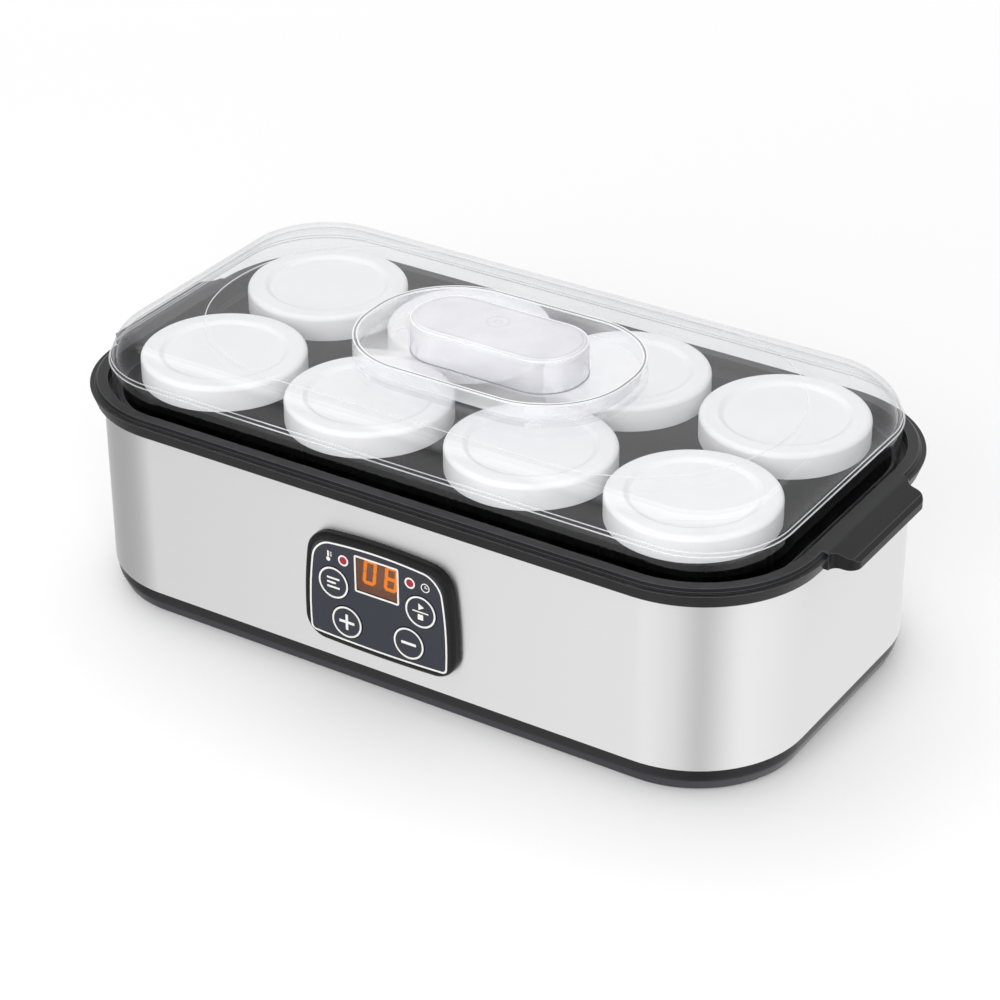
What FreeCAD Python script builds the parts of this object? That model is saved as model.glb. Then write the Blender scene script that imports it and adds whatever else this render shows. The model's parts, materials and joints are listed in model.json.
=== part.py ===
import FreeCAD, Part
import math
import os

import Sketcher

# A yogurt maker for eight jars. Millimetres, Z up from the table, the control panel faces -Y,
# and the origin is on the table under the middle of the body.

doc = FreeCAD.newDocument("yogurt_maker")
sheet = doc.addObject("Spreadsheet::Sheet", "sizes")

SIZES = [
    # body
    ("overall_length", 350.0, "over both end handles"),
    ("sleeve_width", 168.5, "steel sleeve, front to back"),
    ("sleeve_corner", 47.2, "outer radius of the sleeve's corners"),
    ("sleeve_height", 74.6, "from the base to the rim"),
    ("sleeve_sheet", 0.8, "thickness of the steel"),
    ("close_clearance", 0.3, "gap round pieces that slip into each other"),
    ("thread_clearance", 0.1, "gap round a screw in its pilot hole"),
    ("round_margin", 0.3, "least height that a rounding leaves upright"),
    # base
    ("foot_height", 1.8, "from the table to the base"),
    ("foot_radius", 8.0, "rubber foot"),
    ("foot_recess", 0.8, "depth of the foot's seat in the base"),
    ("foot_end", 40.0, "foot centre from the sleeve's end"),
    ("foot_side", 28.25, "foot centre from the sleeve's front or back"),
    ("base_height", 10.2, "base below the sleeve"),
    ("base_inset", 0.8, "base side behind the sleeve's face"),
    ("base_round", 7.0, "rounding of the base's lower edge"),
    ("base_floor", 2.2, "thickness of the base's floor and sides"),
    ("base_lip", 3.6, "height of the base's lip inside the sleeve"),
    # rim and tub
    ("rim_lower_overhang", 3.4, "rim's lower edge beyond the sleeve"),
    ("rim_overhang", 5.4, "rim's widest line beyond the sleeve"),
    ("rim_face", 5.6, "height of the rim's outer face"),
    ("rim_step", 2.0, "width of the step above the outer face"),
    ("rim_bead", 1.8, "height of the bead above the step"),
    ("rim_bead_bevel", 1.1, "bevel of the bead's outer edge"),
    ("rim_land", 5.45, "flat top of the rim"),
    ("lid_seat_depth", 5.6, "from the rim's top to the ledge that carries the lid"),
    ("ledge_width", 5.8, "ledge that carries the lid"),
    ("tub_draft", 4.0, "how far the tub's sides lean in at the floor"),
    ("tub_wall", 2.0, "thickness of the tub's sides"),
    ("tub_floor", 2.2, "thickness of the tub's floor"),
    # end handles
    ("handle_reach", 15.0, "end handle beyond the sleeve"),
    ("handle_half_width", 30.0, "half the width of an end handle"),
    ("handle_flare", 3.4, "hollow rounding where a handle leaves the rim"),
    ("handle_corner", 5.0, "rounding of a handle's outer corners"),
    ("handle_flare_limit", 0.4, "most of the handle's reach that the hollow rounding may take"),
    ("handle_corner_limit", 0.55, "most of the handle's reach that the corner may take"),
    ("handle_drop", 2.6, "fall of a handle's top to its outer edge"),
    ("handle_bevel", 1.8, "bevel along a handle's outer edge"),
    # clear lid
    ("lid_side_gap", 2.0, "rim to lid, front and back"),
    ("lid_end_gap", 3.4, "rim to lid, at the ends"),
    ("lid_corner_inset", 5.15, "how much smaller the lid's corners are than the mouth's"),
    ("lid_wall", 2.2, "thickness of the lid"),
    ("lid_wall_height", 15.3, "upright wall, from the ledge to the crease"),
    ("lid_crease", 0.7, "step at the foot of the shoulder"),
    ("lid_shoulder_height", 12.5, "from the crease to the top"),
    ("lid_shoulder_round", 12.0, "rounding of the shoulder"),
    ("lid_oval_side", 14.5, "lid wall to the raised oval, front and back"),
    ("lid_oval_end", 25.0, "lid wall to the raised oval, at the ends"),
    ("lid_oval_rise", 0.8, "height of the raised oval"),
    ("oval_flat", 1.0, "half of the flat at the ends of the oval and the grip"),
    ("ring_length", 122.0, "ring on the lid, outside"),
    ("ring_width", 80.4, "ring on the lid, outside"),
    ("ring_flat", 3.0, "half of the flat at the ring's ends"),
    ("ring_wall", 2.4, "thickness of the ring"),
    ("ring_rise", 4.2, "ring above the raised oval"),
    ("ring_bevel", 0.8, "bevel of the ring's top edges"),
    ("well_sink", 3.2, "floor inside the ring, below the raised oval"),
    ("grip_length", 77.0, "grip inside the ring"),
    ("grip_width", 36.2, "grip inside the ring"),
    ("grip_height", 14.8, "grip above the floor inside the ring"),
    ("grip_round", 2.6, "rounding of the grip's top"),
    # jars
    ("jar_side_gap", 3.9, "jar to the tub, front and back, at its floor"),
    ("jar_end_gap", 6.45, "jar to the tub, at the ends, at its floor"),
    ("jar_row_gap", 5.0, "least gap between the jar lids of the two rows"),
    ("jar_column_gap", 3.8, "least gap between jar lids along the length"),
    ("jar_middle_extra", 4.0, "how much wider the middle gap along the length is"),
    ("jar_headroom", 6.8, "jar lids to the lid above them"),
    ("jar_glass", 2.6, "thickness of the glass"),
    ("jar_bottom", 4.0, "thickness of the jar's bottom"),
    ("jar_lid_height", 11.0, "jar lid, outside"),
    ("jar_lid_wall", 1.6, "thickness of the jar lid"),
    ("jar_lid_bevel", 2.4, "bevel of the jar lid's top edge"),
    ("jar_lid_border", 10.0, "jar lid's side to the flat middle of its dished top"),
    ("jar_lid_dish", 0.9, "depth of the dish"),
    ("jar_lid_clearance", 0.4, "jar lid to jar"),
    # control panel
    ("bezel_rise", 8.7, "bezel's lower edge above the sleeve's lower edge"),
    ("bezel_width", 70.8, "control bezel, at its widest line"),
    ("panel_widest_rise", 14.5, "that line above the bezel's lower edge"),
    ("panel_side_round", 183.5, "curve of the bezel's sides"),
    ("panel_top_round", 241.5, "curve of the bezel's upper edge"),
    ("panel_bottom_round", 600.0, "curve of the bezel's lower edge"),
    ("bezel_top_corner", 10.9, "rounding of the bezel's upper corners"),
    ("bezel_bottom_corner", 10.0, "rounding of the bezel's lower corners"),
    ("bezel_proud", 4.25, "bezel in front of the sleeve"),
    ("bezel_edge", 2.0, "rounding of the bezel's front edge"),
    ("bezel_lap", 4.0, "bezel over the edge of the sleeve's window"),
    ("bezel_web", 1.5, "plate of the bezel behind the overlay"),
    ("bezel_border", 2.5, "bezel's edge to the overlay, all round"),
    ("overlay_corner", 3.0, "rounding of the overlay's lower corners"),
    ("overlay_sheet", 0.8, "thickness of the overlay"),
    ("key_radius", 7.0, "round key"),
    ("key_proud", 0.3, "key in front of the overlay"),
    ("key_flange", 0.9, "width of the flange behind the overlay"),
    ("key_flange_sheet", 1.0, "thickness of that flange"),
    ("key_travel", 0.5, "how far a key goes in"),
    ("key_stem_radius", 1.8, "stem behind a key"),
    ("display_key_gap", 2.0, "display module to the upper keys"),
    ("lower_key_column", 14.6, "lower keys from the middle"),
    ("lower_key_rise", 12.5, "lower keys above the bezel's lower edge"),
    ("key_row_pitch", 16.3, "upper keys above the lower keys"),
    ("lamp_radius", 2.2, "indicator lamp"),
    ("display_lamp_gap", 2.85, "display module to the lamps"),
    ("lamp_row_pitch", 11.5, "lamps above the upper keys"),
    ("lamp_top", 10.6, "lamps below the bezel's upper edge"),
    ("display_width", 20.1, "display window"),
    ("display_height", 15.5, "display window"),
    ("display_wall_gap", 0.45, "display module to the bezel's wall above it"),
    ("display_window_sheet", 1.6, "thickness of the window"),
    ("display_module_margin", 0.5, "display module beyond its window"),
    # control board
    ("board_setback", 3.05, "control board behind the sleeve's face"),
    ("board_side", 6.4, "bezel's side to the control board"),
    ("board_top", 7.0, "bezel's upper edge to the control board"),
    ("board_rise", 4.6, "control board above the bezel's lower edge"),
    ("board_sheet", 1.6, "thickness of both boards"),
    ("board_screw_inset", 3.6, "screw centre from the edges of both boards"),
    ("board_screw_radius", 1.25, "screws of both boards"),
    ("board_screw_head_radius", 2.4, "screws of both boards"),
    ("board_screw_head", 1.3, "screws of both boards"),
    ("board_screw_bite", 3.0, "screw length in its post"),
    ("board_post_radius", 3.0, "posts of both boards"),
    ("switch_side", 6.0, "tact switch"),
    ("switch_height", 1.8, "tact switch body"),
    ("switch_plunger_radius", 1.5, "tact switch plunger"),
    ("switch_plunger", 0.7, "plunger above the switch body"),
    # heater
    ("heater_plate_end", 17.0, "end of the tray to the aluminium plate"),
    ("heater_plate_width", 104.0, "aluminium plate under the tub"),
    ("heater_plate_corner", 14.0, "aluminium plate under the tub"),
    ("heater_plate_sheet", 1.5, "aluminium plate under the tub"),
    ("heater_strip_width", 12.0, "silicone heater strip under the plate"),
    ("heater_strip_height", 3.2, "silicone heater strip under the plate"),
    ("heater_turn_end", 4.0, "end of the aluminium plate to the heater strip"),
    ("heater_pitch", 24.0, "between runs of the heater strip"),
    ("shield_end", 43.0, "sleeve's end to the sheet metal tray under the heater"),
    ("shield_side", 28.25, "sleeve's front or back to the tray"),
    ("shield_corner", 16.0, "sheet metal tray under the heater"),
    ("shield_sheet", 0.6, "sheet metal tray under the heater"),
    ("shield_lip", 3.0, "turned up edge of the tray"),
    ("shield_boss_end", 8.5, "tray screws from the tray's end"),
    ("shield_boss_side", 20.0, "tray screws from the tray's front or back"),
    ("shield_boss_radius", 3.6, "bosses under the tub for the tray's screws"),
    ("sensor_gap", 0.1, "temperature sensor and thermal fuse to the tray, halved"),
    ("sensor_length", 9.0, "temperature sensor"),
    ("fuse_length", 13.0, "thermal fuse"),
    # base screws
    ("base_screw_gap", 10.4, "end of the tray to the bosses for the base screws"),
    ("base_screw_row", 40.0, "base screws from the middle, front to back"),
    ("base_screw_radius", 1.6, "base screws"),
    ("base_screw_head_radius", 3.0, "base screws"),
    ("base_screw_head", 1.8, "base screws"),
    ("base_screw_bite", 9.0, "screw length in its boss"),
    ("base_screw_sink", 3.4, "depth of the well over the screw's head"),
    ("base_well_radius", 5.6, "boss of the base round the well"),
    ("base_well_height", 3.5, "boss of the base above its floor"),
    ("housing_boss_radius", 4.6, "bosses under the tub for the base screws"),
    # power board
    ("power_board_length", 84.0, "power board on the base"),
    ("power_board_width", 52.0, "power board on the base"),
    ("power_board_x", 52.0, "middle of the power board along the length"),
    ("power_board_y", 26.0, "middle of the power board front to back"),
    ("power_post_height", 3.0, "posts under the power board"),
    ("part_headroom", 1.4, "tallest part of the power board to the tray above it"),
    ("relay_length", 18.0, "relay"),
    ("relay_width", 12.0, "relay"),
    ("relay_height", 10.0, "relay"),
    ("film_capacitor_length", 18.0, "film capacitor"),
    ("film_capacitor_width", 8.5, "film capacitor"),
    ("film_capacitor_height", 10.5, "film capacitor"),
    ("storage_capacitor_radius", 4.0, "storage capacitor"),
    ("storage_capacitor_height", 9.5, "storage capacitor"),
    ("terminal_length", 20.0, "terminal block"),
    ("terminal_width", 9.0, "terminal block"),
    ("terminal_height", 9.0, "terminal block"),
    ("part_spacing", 6.0, "between the middle of the power board and its parts"),
    # gland of the mains lead
    ("gland_inset", 12.8, "gland from the end of the flat back"),
    ("gland_rise", 11.5, "gland above the sleeve's lower edge"),
    ("gland_bore", 3.4, "radius of the gland's bore"),
    ("gland_neck", 4.8, "radius where the gland passes the sleeve"),
    ("gland_flange", 6.8, "radius of the gland's flange"),
    ("gland_flange_sheet", 2.2, "thickness of the gland's flange"),
    ("gland_collar_sheet", 2.4, "thickness of the gland's inner collar"),
]

# Sizes that follow from others, so that what fits together stays together
mouth_inset = "(rim_overhang - rim_step - rim_land)"
floor_inset = f"({mouth_inset} - ledge_width - tub_draft)"
lid_lap = "(jar_lid_wall + jar_lid_clearance)"
TIED = [
    ("sleeve_length", "overall_length - 2 * handle_reach", "steel sleeve, end to end"),
    ("foot_column", "sleeve_length / 2 - foot_end", "foot centre from the middle, along the length"),
    ("foot_row", "sleeve_width / 2 - foot_side", "foot centre from the middle, front to back"),
    ("part_height", "max(relay_height; film_capacitor_height; storage_capacitor_height; terminal_height)",
     "tallest part of the power board"),
    ("heater_stack", "shield_sheet + heater_strip_height + heater_plate_sheet",
     "heater under the tub's floor"),
    ("tub_floor_rise", "base_floor + power_post_height + board_sheet + part_height + part_headroom"
     " + heater_stack + tub_floor", "tub's floor above the bottom of the base"),
    ("tub_depth", "base_height + sleeve_height + rim_face + rim_bead - lid_seat_depth - tub_floor_rise",
     "from the ledge to the tub's floor"),
    ("tub_half_length", f"sleeve_length / 2 + {floor_inset}", "half the tub's floor, along the length"),
    ("tub_half_width", f"sleeve_width / 2 + {floor_inset}", "half the tub's floor, front to back"),
    ("lid_corner", f"sleeve_corner + {mouth_inset} - lid_corner_inset", "outer radius of the lid's corners"),
    ("jar_lid_radius", f"min((tub_half_width - jar_side_gap + {lid_lap} - jar_row_gap / 2) / 2; "
     f"(2 * (tub_half_length - jar_end_gap + {lid_lap}) - jar_middle_extra - 3 * jar_column_gap) / 8)",
     "jar lid, outside, the largest that the tub takes"),
    ("jar_lid_dish_radius", "jar_lid_radius - jar_lid_border", "flat middle of the jar lid's dished top"),
    ("row_pitch", f"2 * (tub_half_width - jar_side_gap - jar_lid_radius + {lid_lap})",
     "between the two rows of jars"),
    ("column_pitch", f"(2 * (tub_half_length - jar_end_gap - jar_lid_radius + {lid_lap})"
     " - jar_middle_extra) / 3", "outer to inner jar along the length"),
    ("middle_pitch", "column_pitch + jar_middle_extra", "between the two inner jars along the length"),
    ("jar_height", "tub_depth + lid_wall_height + lid_shoulder_height + lid_oval_rise - well_sink - lid_wall"
     f" - jar_headroom - {lid_lap}", "glass jar alone"),
    ("upper_key_column", "display_width / 2 + display_module_margin + display_key_gap + key_flange"
     " + key_radius", "upper keys from the middle"),
    ("upper_key_rise", "lower_key_rise + key_row_pitch", "upper keys above the bezel's lower edge"),
    ("lamp_column", "display_width / 2 + display_module_margin + display_lamp_gap + lamp_radius",
     "lamps from the middle"),
    ("lamp_rise", "upper_key_rise + lamp_row_pitch", "lamps above the bezel's lower edge"),
    ("bezel_height", "lamp_rise + lamp_top", "control bezel"),
    ("display_top", "bezel_lap + close_clearance + bezel_web + display_wall_gap + display_module_margin",
     "display below the bezel's upper edge"),
    ("display_rise", "bezel_height - display_top - display_height / 2",
     "middle of the display above the bezel's lower edge"),
    ("board_width", "bezel_width - 2 * board_side", "control board"),
    ("board_height", "bezel_height - board_rise - board_top", "control board"),
    ("shield_length", "sleeve_length - 2 * shield_end", "sheet metal tray under the heater"),
    ("shield_width", "sleeve_width - 2 * shield_side", "sheet metal tray under the heater"),
    ("shield_boss_column", "shield_length / 2 - shield_boss_end",
     "tray screws from the middle, along the length"),
    ("shield_boss_row", "shield_width / 2 - shield_boss_side", "tray screws from the middle, front to back"),
    ("heater_plate_length", "shield_length - 2 * heater_plate_end", "aluminium plate under the tub"),
    ("heater_run", "heater_plate_length - 2 * heater_turn_end - heater_pitch - heater_strip_width",
     "straight runs of the heater strip"),
    ("sensor_radius", "heater_strip_height / 2 - sensor_gap", "temperature sensor and thermal fuse"),
    ("base_screw_column", "shield_length / 2 + base_screw_gap + housing_boss_radius",
     "base screws from the middle, along the length"),
    ("gland_column", "sleeve_length / 2 - sleeve_corner - gland_inset",
     "gland from the middle, along the length"),
]



# Cells for a corner of the control panel, which touches the side's curve and the upper or lower curve:
# the middle of the corner, and the directions to it from the middles of the two curves
def panel_corner(name, corner, curve, curve_middle, upper):
    side = "panel_side_round"
    middle_x = f"(bezel_width / 2 - {side})"
    rise = f"({curve_middle} - panel_widest_rise)"
    span, along, aside = name + "_span", name + "_along", name + "_aside"
    sign = "+" if upper else "-"
    to_side, to_curve = f"({side} - {corner})", f"({curve} - {corner})"
    return [
        (span, f"sqrt({middle_x}^2 + {rise}^2)", "between the middles of the two curves"),
        (along, f"({to_side}^2 - {to_curve}^2 + {span}^2) / (2 * {span})", "along that line to the corner"),
        (aside, f"sqrt({to_side}^2 - {along}^2)", "aside of that line to the corner"),
        (name + "_x", f"{middle_x} - ({along} * {middle_x} {sign} {aside} * {rise}) / {span}",
         "middle of the corner"),
        (name + "_z", f"panel_widest_rise + ({along} * {rise} - {aside} * {middle_x} * {sign}1) / {span}",
         "middle of the corner"),
        (name + "_side_x", f"({name}_x - {middle_x}) / {to_side}", "direction from the side's middle"),
        (name + "_side_z", f"({name}_z - panel_widest_rise) / {to_side}", "direction from the side's middle"),
        (name + "_curve_x", f"{name}_x / {to_curve}", "direction from the other middle"),
        (name + "_curve_z", f"({name}_z - {curve_middle}) / {to_curve}", "direction from the other middle"),
    ]


top_middle, bottom_middle = "(bezel_height - panel_top_round)", "panel_bottom_round"
TIED += panel_corner("bezel_upper", "bezel_top_corner", "panel_top_round", top_middle, True)
TIED += panel_corner("bezel_lower", "bezel_bottom_corner", "panel_bottom_round", bottom_middle, False)
TIED += panel_corner("overlay_lower", "(bezel_border + overlay_corner)", "panel_bottom_round",
                     bottom_middle, False)

cells = [(alias, str(number), note) for alias, number, note in SIZES]
cells += [(alias, "=" + formula, note) for alias, formula, note in TIED]
for row, (alias, entry, note) in enumerate(cells, start=1):
    sheet.set("A%d" % row, alias)
    sheet.set("B%d" % row, entry)
    sheet.set("C%d" % row, note)
    sheet.setAlias("B%d" % row, alias)
doc.recompute()

# Levels and half sizes that several pieces share, as formulas of the sheet's sizes
base_floor_top = "(sizes.foot_height + sizes.base_floor)"
sleeve_bottom = "(sizes.foot_height + sizes.base_height)"
rim_bottom = "(sizes.foot_height + sizes.base_height + sizes.sleeve_height)"
rim_face_top = f"({rim_bottom} + sizes.rim_face)"
rim_top = f"({rim_face_top} + sizes.rim_bead)"
ledge = f"({rim_top} - sizes.lid_seat_depth)"
tub_floor_top = f"({ledge} - sizes.tub_depth)"
tub_underside = f"({tub_floor_top} - sizes.tub_floor)"
half_length = "(sizes.sleeve_length / 2)"
half_width = "(sizes.sleeve_width / 2)"
mouth_offset = "(sizes.rim_overhang - sizes.rim_step - sizes.rim_land)"
front_face = half_width
bezel_bottom = f"({sleeve_bottom} + sizes.bezel_rise)"
overlay_front = f"({front_face} + sizes.bezel_proud)"
overlay_back = f"({overlay_front} - sizes.overlay_sheet)"
board_front = f"({front_face} - sizes.board_setback)"
heater_plate_under = f"({tub_underside} - sizes.heater_plate_sheet)"
shield_top = f"({heater_plate_under} - sizes.heater_strip_height)"
power_board_under = f"({base_floor_top} + sizes.power_post_height)"
power_board_top = f"({power_board_under} + sizes.board_sheet)"
base_well_top = f"({base_floor_top} + sizes.base_well_height)"

# Lengths this close are taken as equal
touch = 0.001
heater_runs = 4
pieces = []


def value(formula):
    return float(sheet.evalExpression(formula))


def minus(formula):
    return f"(0 - {formula})"


def new_piece(label):
    body = doc.addObject("PartDesign::Body", label)
    body.Label = label
    body.AllowCompound = True
    pieces.append(body)
    return body


# A sketch on one of the body's own planes, moved off it by a formula. The XZ plane looks to -Y,
# so there a positive distance is to the front.
def new_sketch(body, name, role, distance="0"):
    sketch = body.newObject("Sketcher::SketchObject", name)
    support = next(item for item in body.Origin.OriginFeatures if item.Role == role)
    sketch.AttachmentSupport = [(support, "")]
    sketch.MapMode = "FlatFace"
    sketch.setExpression("AttachmentOffset.Base.z", distance)
    return sketch


def bind(sketch, constraint, formula):
    index = sketch.addConstraint(constraint)
    name = "size_%d" % index
    sketch.renameConstraint(index, name)
    sketch.setExpression("Constraints." + name, formula)


def pin(sketch, geometry, end, place):
    at = [value(place[0]), value(place[1])]
    bind(sketch, Sketcher.Constraint("DistanceX", -1, 1, geometry, end, at[0]), place[0])
    bind(sketch, Sketcher.Constraint("DistanceY", -1, 1, geometry, end, at[1]), place[1])


# The arc from one point to the next, turning left (1) or right (-1), under half a turn
def bend(start, end, radius, turn):
    chord = end - start
    rise = math.sqrt(max(radius ** 2 - (chord.Length / 2) ** 2, 0.0))
    aside = FreeCAD.Vector(-chord.y, chord.x, 0).normalize() * (turn * rise)
    centre = (start + end) / 2 + aside
    first, last = (start, end) if turn > 0 else (end, start)
    first_angle = math.atan2(first.y - centre.y, first.x - centre.x)
    last_angle = math.atan2(last.y - centre.y, last.x - centre.x)
    if last_angle < first_angle:
        last_angle += 2 * math.pi
    circle = Part.Circle(centre, FreeCAD.Vector(0, 0, 1), radius)
    return Part.ArcOfCircle(circle, first_angle, last_angle)


# An outline through corners (x, y), with a third and fourth entry where an arc of that radius
# and turn leads to the next corner
def outline(sketch, corners):
    points = [FreeCAD.Vector(value(corner[0]), value(corner[1]), 0) for corner in corners]
    ends = []
    for number, corner in enumerate(corners):
        start = points[number]
        end = points[(number + 1) % len(points)]
        if len(corner) == 2:
            geometry = sketch.addGeometry(Part.LineSegment(start, end), False)
            ends.append((geometry, 1, 2))
            continue
        radius, turn = corner[2:]
        geometry = sketch.addGeometry(bend(start, end, value(radius), turn), False)
        ends.append((geometry, 1, 2) if turn > 0 else (geometry, 2, 1))
        bind(sketch, Sketcher.Constraint("Radius", geometry, value(radius)), radius)
    for number, (geometry, near_end, far_end) in enumerate(ends):
        pin(sketch, geometry, near_end, corners[number])
        following, following_end, _ = ends[(number + 1) % len(ends)]
        sketch.addConstraint(Sketcher.Constraint("Coincident", geometry, far_end, following, following_end))


# A rectangle about a centre, with round corners
def rounded(sketch, across, along, corner, centre=("0", "0")):
    x, y = centre
    right, top = f"({x} + ({across}))", f"({y} + ({along}))"
    left, bottom = f"({x} - ({across}))", f"({y} - ({along}))"
    outline(sketch, [
        (f"{left} + ({corner})", bottom),
        (f"{right} - ({corner})", bottom, corner, 1),
        (right, f"{bottom} + ({corner})"),
        (right, f"{top} - ({corner})", corner, 1),
        (f"{right} - ({corner})", top),
        (f"{left} + ({corner})", top, corner, 1),
        (left, f"{top} - ({corner})"),
        (left, f"{bottom} + ({corner})", corner, 1),
    ])


def rectangle(sketch, across, along, centre=("0", "0")):
    x, y = centre
    right, top = f"({x} + ({across}))", f"({y} + ({along}))"
    left, bottom = f"({x} - ({across}))", f"({y} - ({along}))"
    outline(sketch, [(left, bottom), (right, bottom), (right, top), (left, top)])


def circles(sketch, centres, radius):
    for centre in centres:
        middle = FreeCAD.Vector(value(centre[0]), value(centre[1]), 0)
        ring = Part.Circle(middle, FreeCAD.Vector(0, 0, 1), value(radius))
        geometry = sketch.addGeometry(ring, False)
        pin(sketch, geometry, 3, centre)
        bind(sketch, Sketcher.Constraint("Radius", geometry, value(radius)), radius)


def four_corners(column, row):
    return [(f"{side} * {column}", f"{end} * {row}") for side in (-1, 1) for end in (-1, 1)]


# The sleeve's outline grown by an offset, which may be negative
def body_outline(body, name, level, offset):
    sketch = new_sketch(body, name, "XY_Plane", level)
    rounded(sketch, f"({half_length} + {offset})", f"({half_width} + {offset})",
            f"(sizes.sleeve_corner + {offset})")
    return sketch


def pad(body, sketch, length, backwards=False):
    feature = body.newObject("PartDesign::Pad", sketch.Name + "_pad")
    feature.Profile = sketch
    feature.setExpression("Length", length)
    feature.Reversed = backwards
    return feature


# A pocket that goes along the sketch's normal, or against it
def pocket(body, sketch, depth, along=True):
    feature = body.newObject("PartDesign::Pocket", sketch.Name + "_pocket")
    feature.Profile = sketch
    feature.setExpression("Length", depth)
    feature.Reversed = along
    doc.recompute()
    before = feature.BaseFeature.Shape.Volume
    if feature.Shape.Volume > before - touch:
        raise RuntimeError(feature.Name + " cuts nothing")
    return feature


def loft(body, sketch, other, kind="Additive"):
    feature = body.newObject(f"PartDesign::{kind}Loft", sketch.Name + "_loft")
    feature.Profile = sketch
    feature.Sections = [other]
    feature.Ruled = True
    return feature


# Edges of a feature that lie at one height
def edges_at(feature, level):
    doc.recompute()
    height = value(level)
    found = []
    for number, edge in enumerate(feature.Shape.Edges, start=1):
        box = edge.BoundBox
        if abs(box.ZMin - height) < touch and abs(box.ZMax - height) < touch:
            found.append("Edge%d" % number)
    return found


def fillet(body, feature, edges, radius):
    rounding = body.newObject("PartDesign::Fillet", feature.Name + "_fillet")
    rounding.Base = (feature, edges)
    rounding.setExpression("Radius", radius)
    return rounding


def chamfer(body, feature, edges, size):
    bevel = body.newObject("PartDesign::Chamfer", feature.Name + "_bevel")
    bevel.Base = (feature, edges)
    bevel.setExpression("Size", size)
    return bevel


def revolve(body, sketch):
    feature = body.newObject("PartDesign::Revolution", sketch.Name + "_turned")
    feature.Profile = sketch
    feature.ReferenceAxis = (sketch, ["V_Axis"])
    feature.Angle = 360.0
    return feature


# Screws with their heads below or behind, as a group of separate solids
def screws(label, role, centres, head_level, head_height, head_radius, length, radius, backwards=False):
    body = new_piece(label)
    head = new_sketch(body, label + "_head", role, head_level)
    circles(head, centres, head_radius)
    pad(body, head, head_height, backwards)
    sign = "-" if backwards else "+"
    shank = new_sketch(body, label + "_shank", role, f"{head_level} {sign} {head_height}")
    circles(shank, centres, radius)
    pad(body, shank, length, backwards)
    return body


# Block standing on a level, with its middle at a place
def block(label, across, along, level, height, centre):
    body = new_piece(label)
    sketch = new_sketch(body, label + "_plan", "XY_Plane", level)
    rectangle(sketch, f"{across} / 2", f"{along} / 2", centre)
    pad(body, sketch, height)
    return body


def make_upper_housing():
    body = new_piece("upper_housing")
    cavity = f"({mouth_offset} - sizes.ledge_width)"
    cavity_low = f"({cavity} - sizes.tub_draft)"
    tub_low = body_outline(body, "tub_low", tub_underside, f"({cavity_low} + sizes.tub_wall)")
    tub_high = body_outline(body, "tub_high", rim_bottom, f"({cavity} + sizes.tub_wall)")
    loft(body, tub_low, tub_high)
    rim_low = body_outline(body, "rim_low", rim_bottom, "sizes.rim_lower_overhang")
    rim_high = body_outline(body, "rim_high", rim_face_top, "sizes.rim_overhang")
    loft(body, rim_low, rim_high)
    bead = body_outline(body, "bead", rim_face_top, "(sizes.rim_overhang - sizes.rim_step)")
    bead_pad = pad(body, bead, "sizes.rim_bead")
    chamfer(body, bead_pad, edges_at(bead_pad, rim_top), "sizes.rim_bead_bevel")

    # End handles: tabs that leave the rim through hollow roundings
    tabs = new_sketch(body, "handles", "XY_Plane", rim_bottom)
    for side in (1, -1):
        handle_outline(tabs, side)
    pad(body, tabs, f"{rim_top} - {rim_bottom}")
    slope = new_sketch(body, "handle_slope", "XZ_Plane", "sizes.handle_half_width + sizes.handle_flare")
    for side in (1, -1):
        handle_slope(slope, side)
    pocket(body, slope, "2 * (sizes.handle_half_width + sizes.handle_flare)", along=False)

    # Mouth for the lid, and the tub below its ledge
    mouth = body_outline(body, "mouth", ledge, mouth_offset)
    pocket(body, mouth, "sizes.lid_seat_depth")
    low = body_outline(body, "cavity_low", tub_floor_top, cavity_low)
    high = body_outline(body, "cavity_high", ledge, cavity)
    loft(body, low, high, "Subtractive")

    # Bosses under the floor, for the base screws and the heat shield
    tall = new_sketch(body, "base_bosses", "XY_Plane", base_well_top)
    circles(tall, four_corners("sizes.base_screw_column", "sizes.base_screw_row"),
            "sizes.housing_boss_radius")
    pad(body, tall, f"{tub_underside} - {base_well_top}")
    low_bosses = new_sketch(body, "shield_bosses", "XY_Plane", shield_top)
    circles(low_bosses, four_corners("sizes.shield_boss_column", "sizes.shield_boss_row"),
            "sizes.shield_boss_radius")
    pad(body, low_bosses, f"{tub_underside} - {shield_top}")
    pilots = new_sketch(body, "base_pilots", "XY_Plane", base_well_top)
    circles(pilots, four_corners("sizes.base_screw_column", "sizes.base_screw_row"),
            "sizes.base_screw_radius + sizes.thread_clearance")
    pocket(body, pilots, "sizes.base_screw_bite + sizes.close_clearance")
    shield_pilots = new_sketch(body, "shield_pilots", "XY_Plane", shield_top)
    circles(shield_pilots, four_corners("sizes.shield_boss_column", "sizes.shield_boss_row"),
            "sizes.board_screw_radius + sizes.thread_clearance")
    pocket(body, shield_pilots, "sizes.board_screw_bite + sizes.close_clearance")


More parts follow.
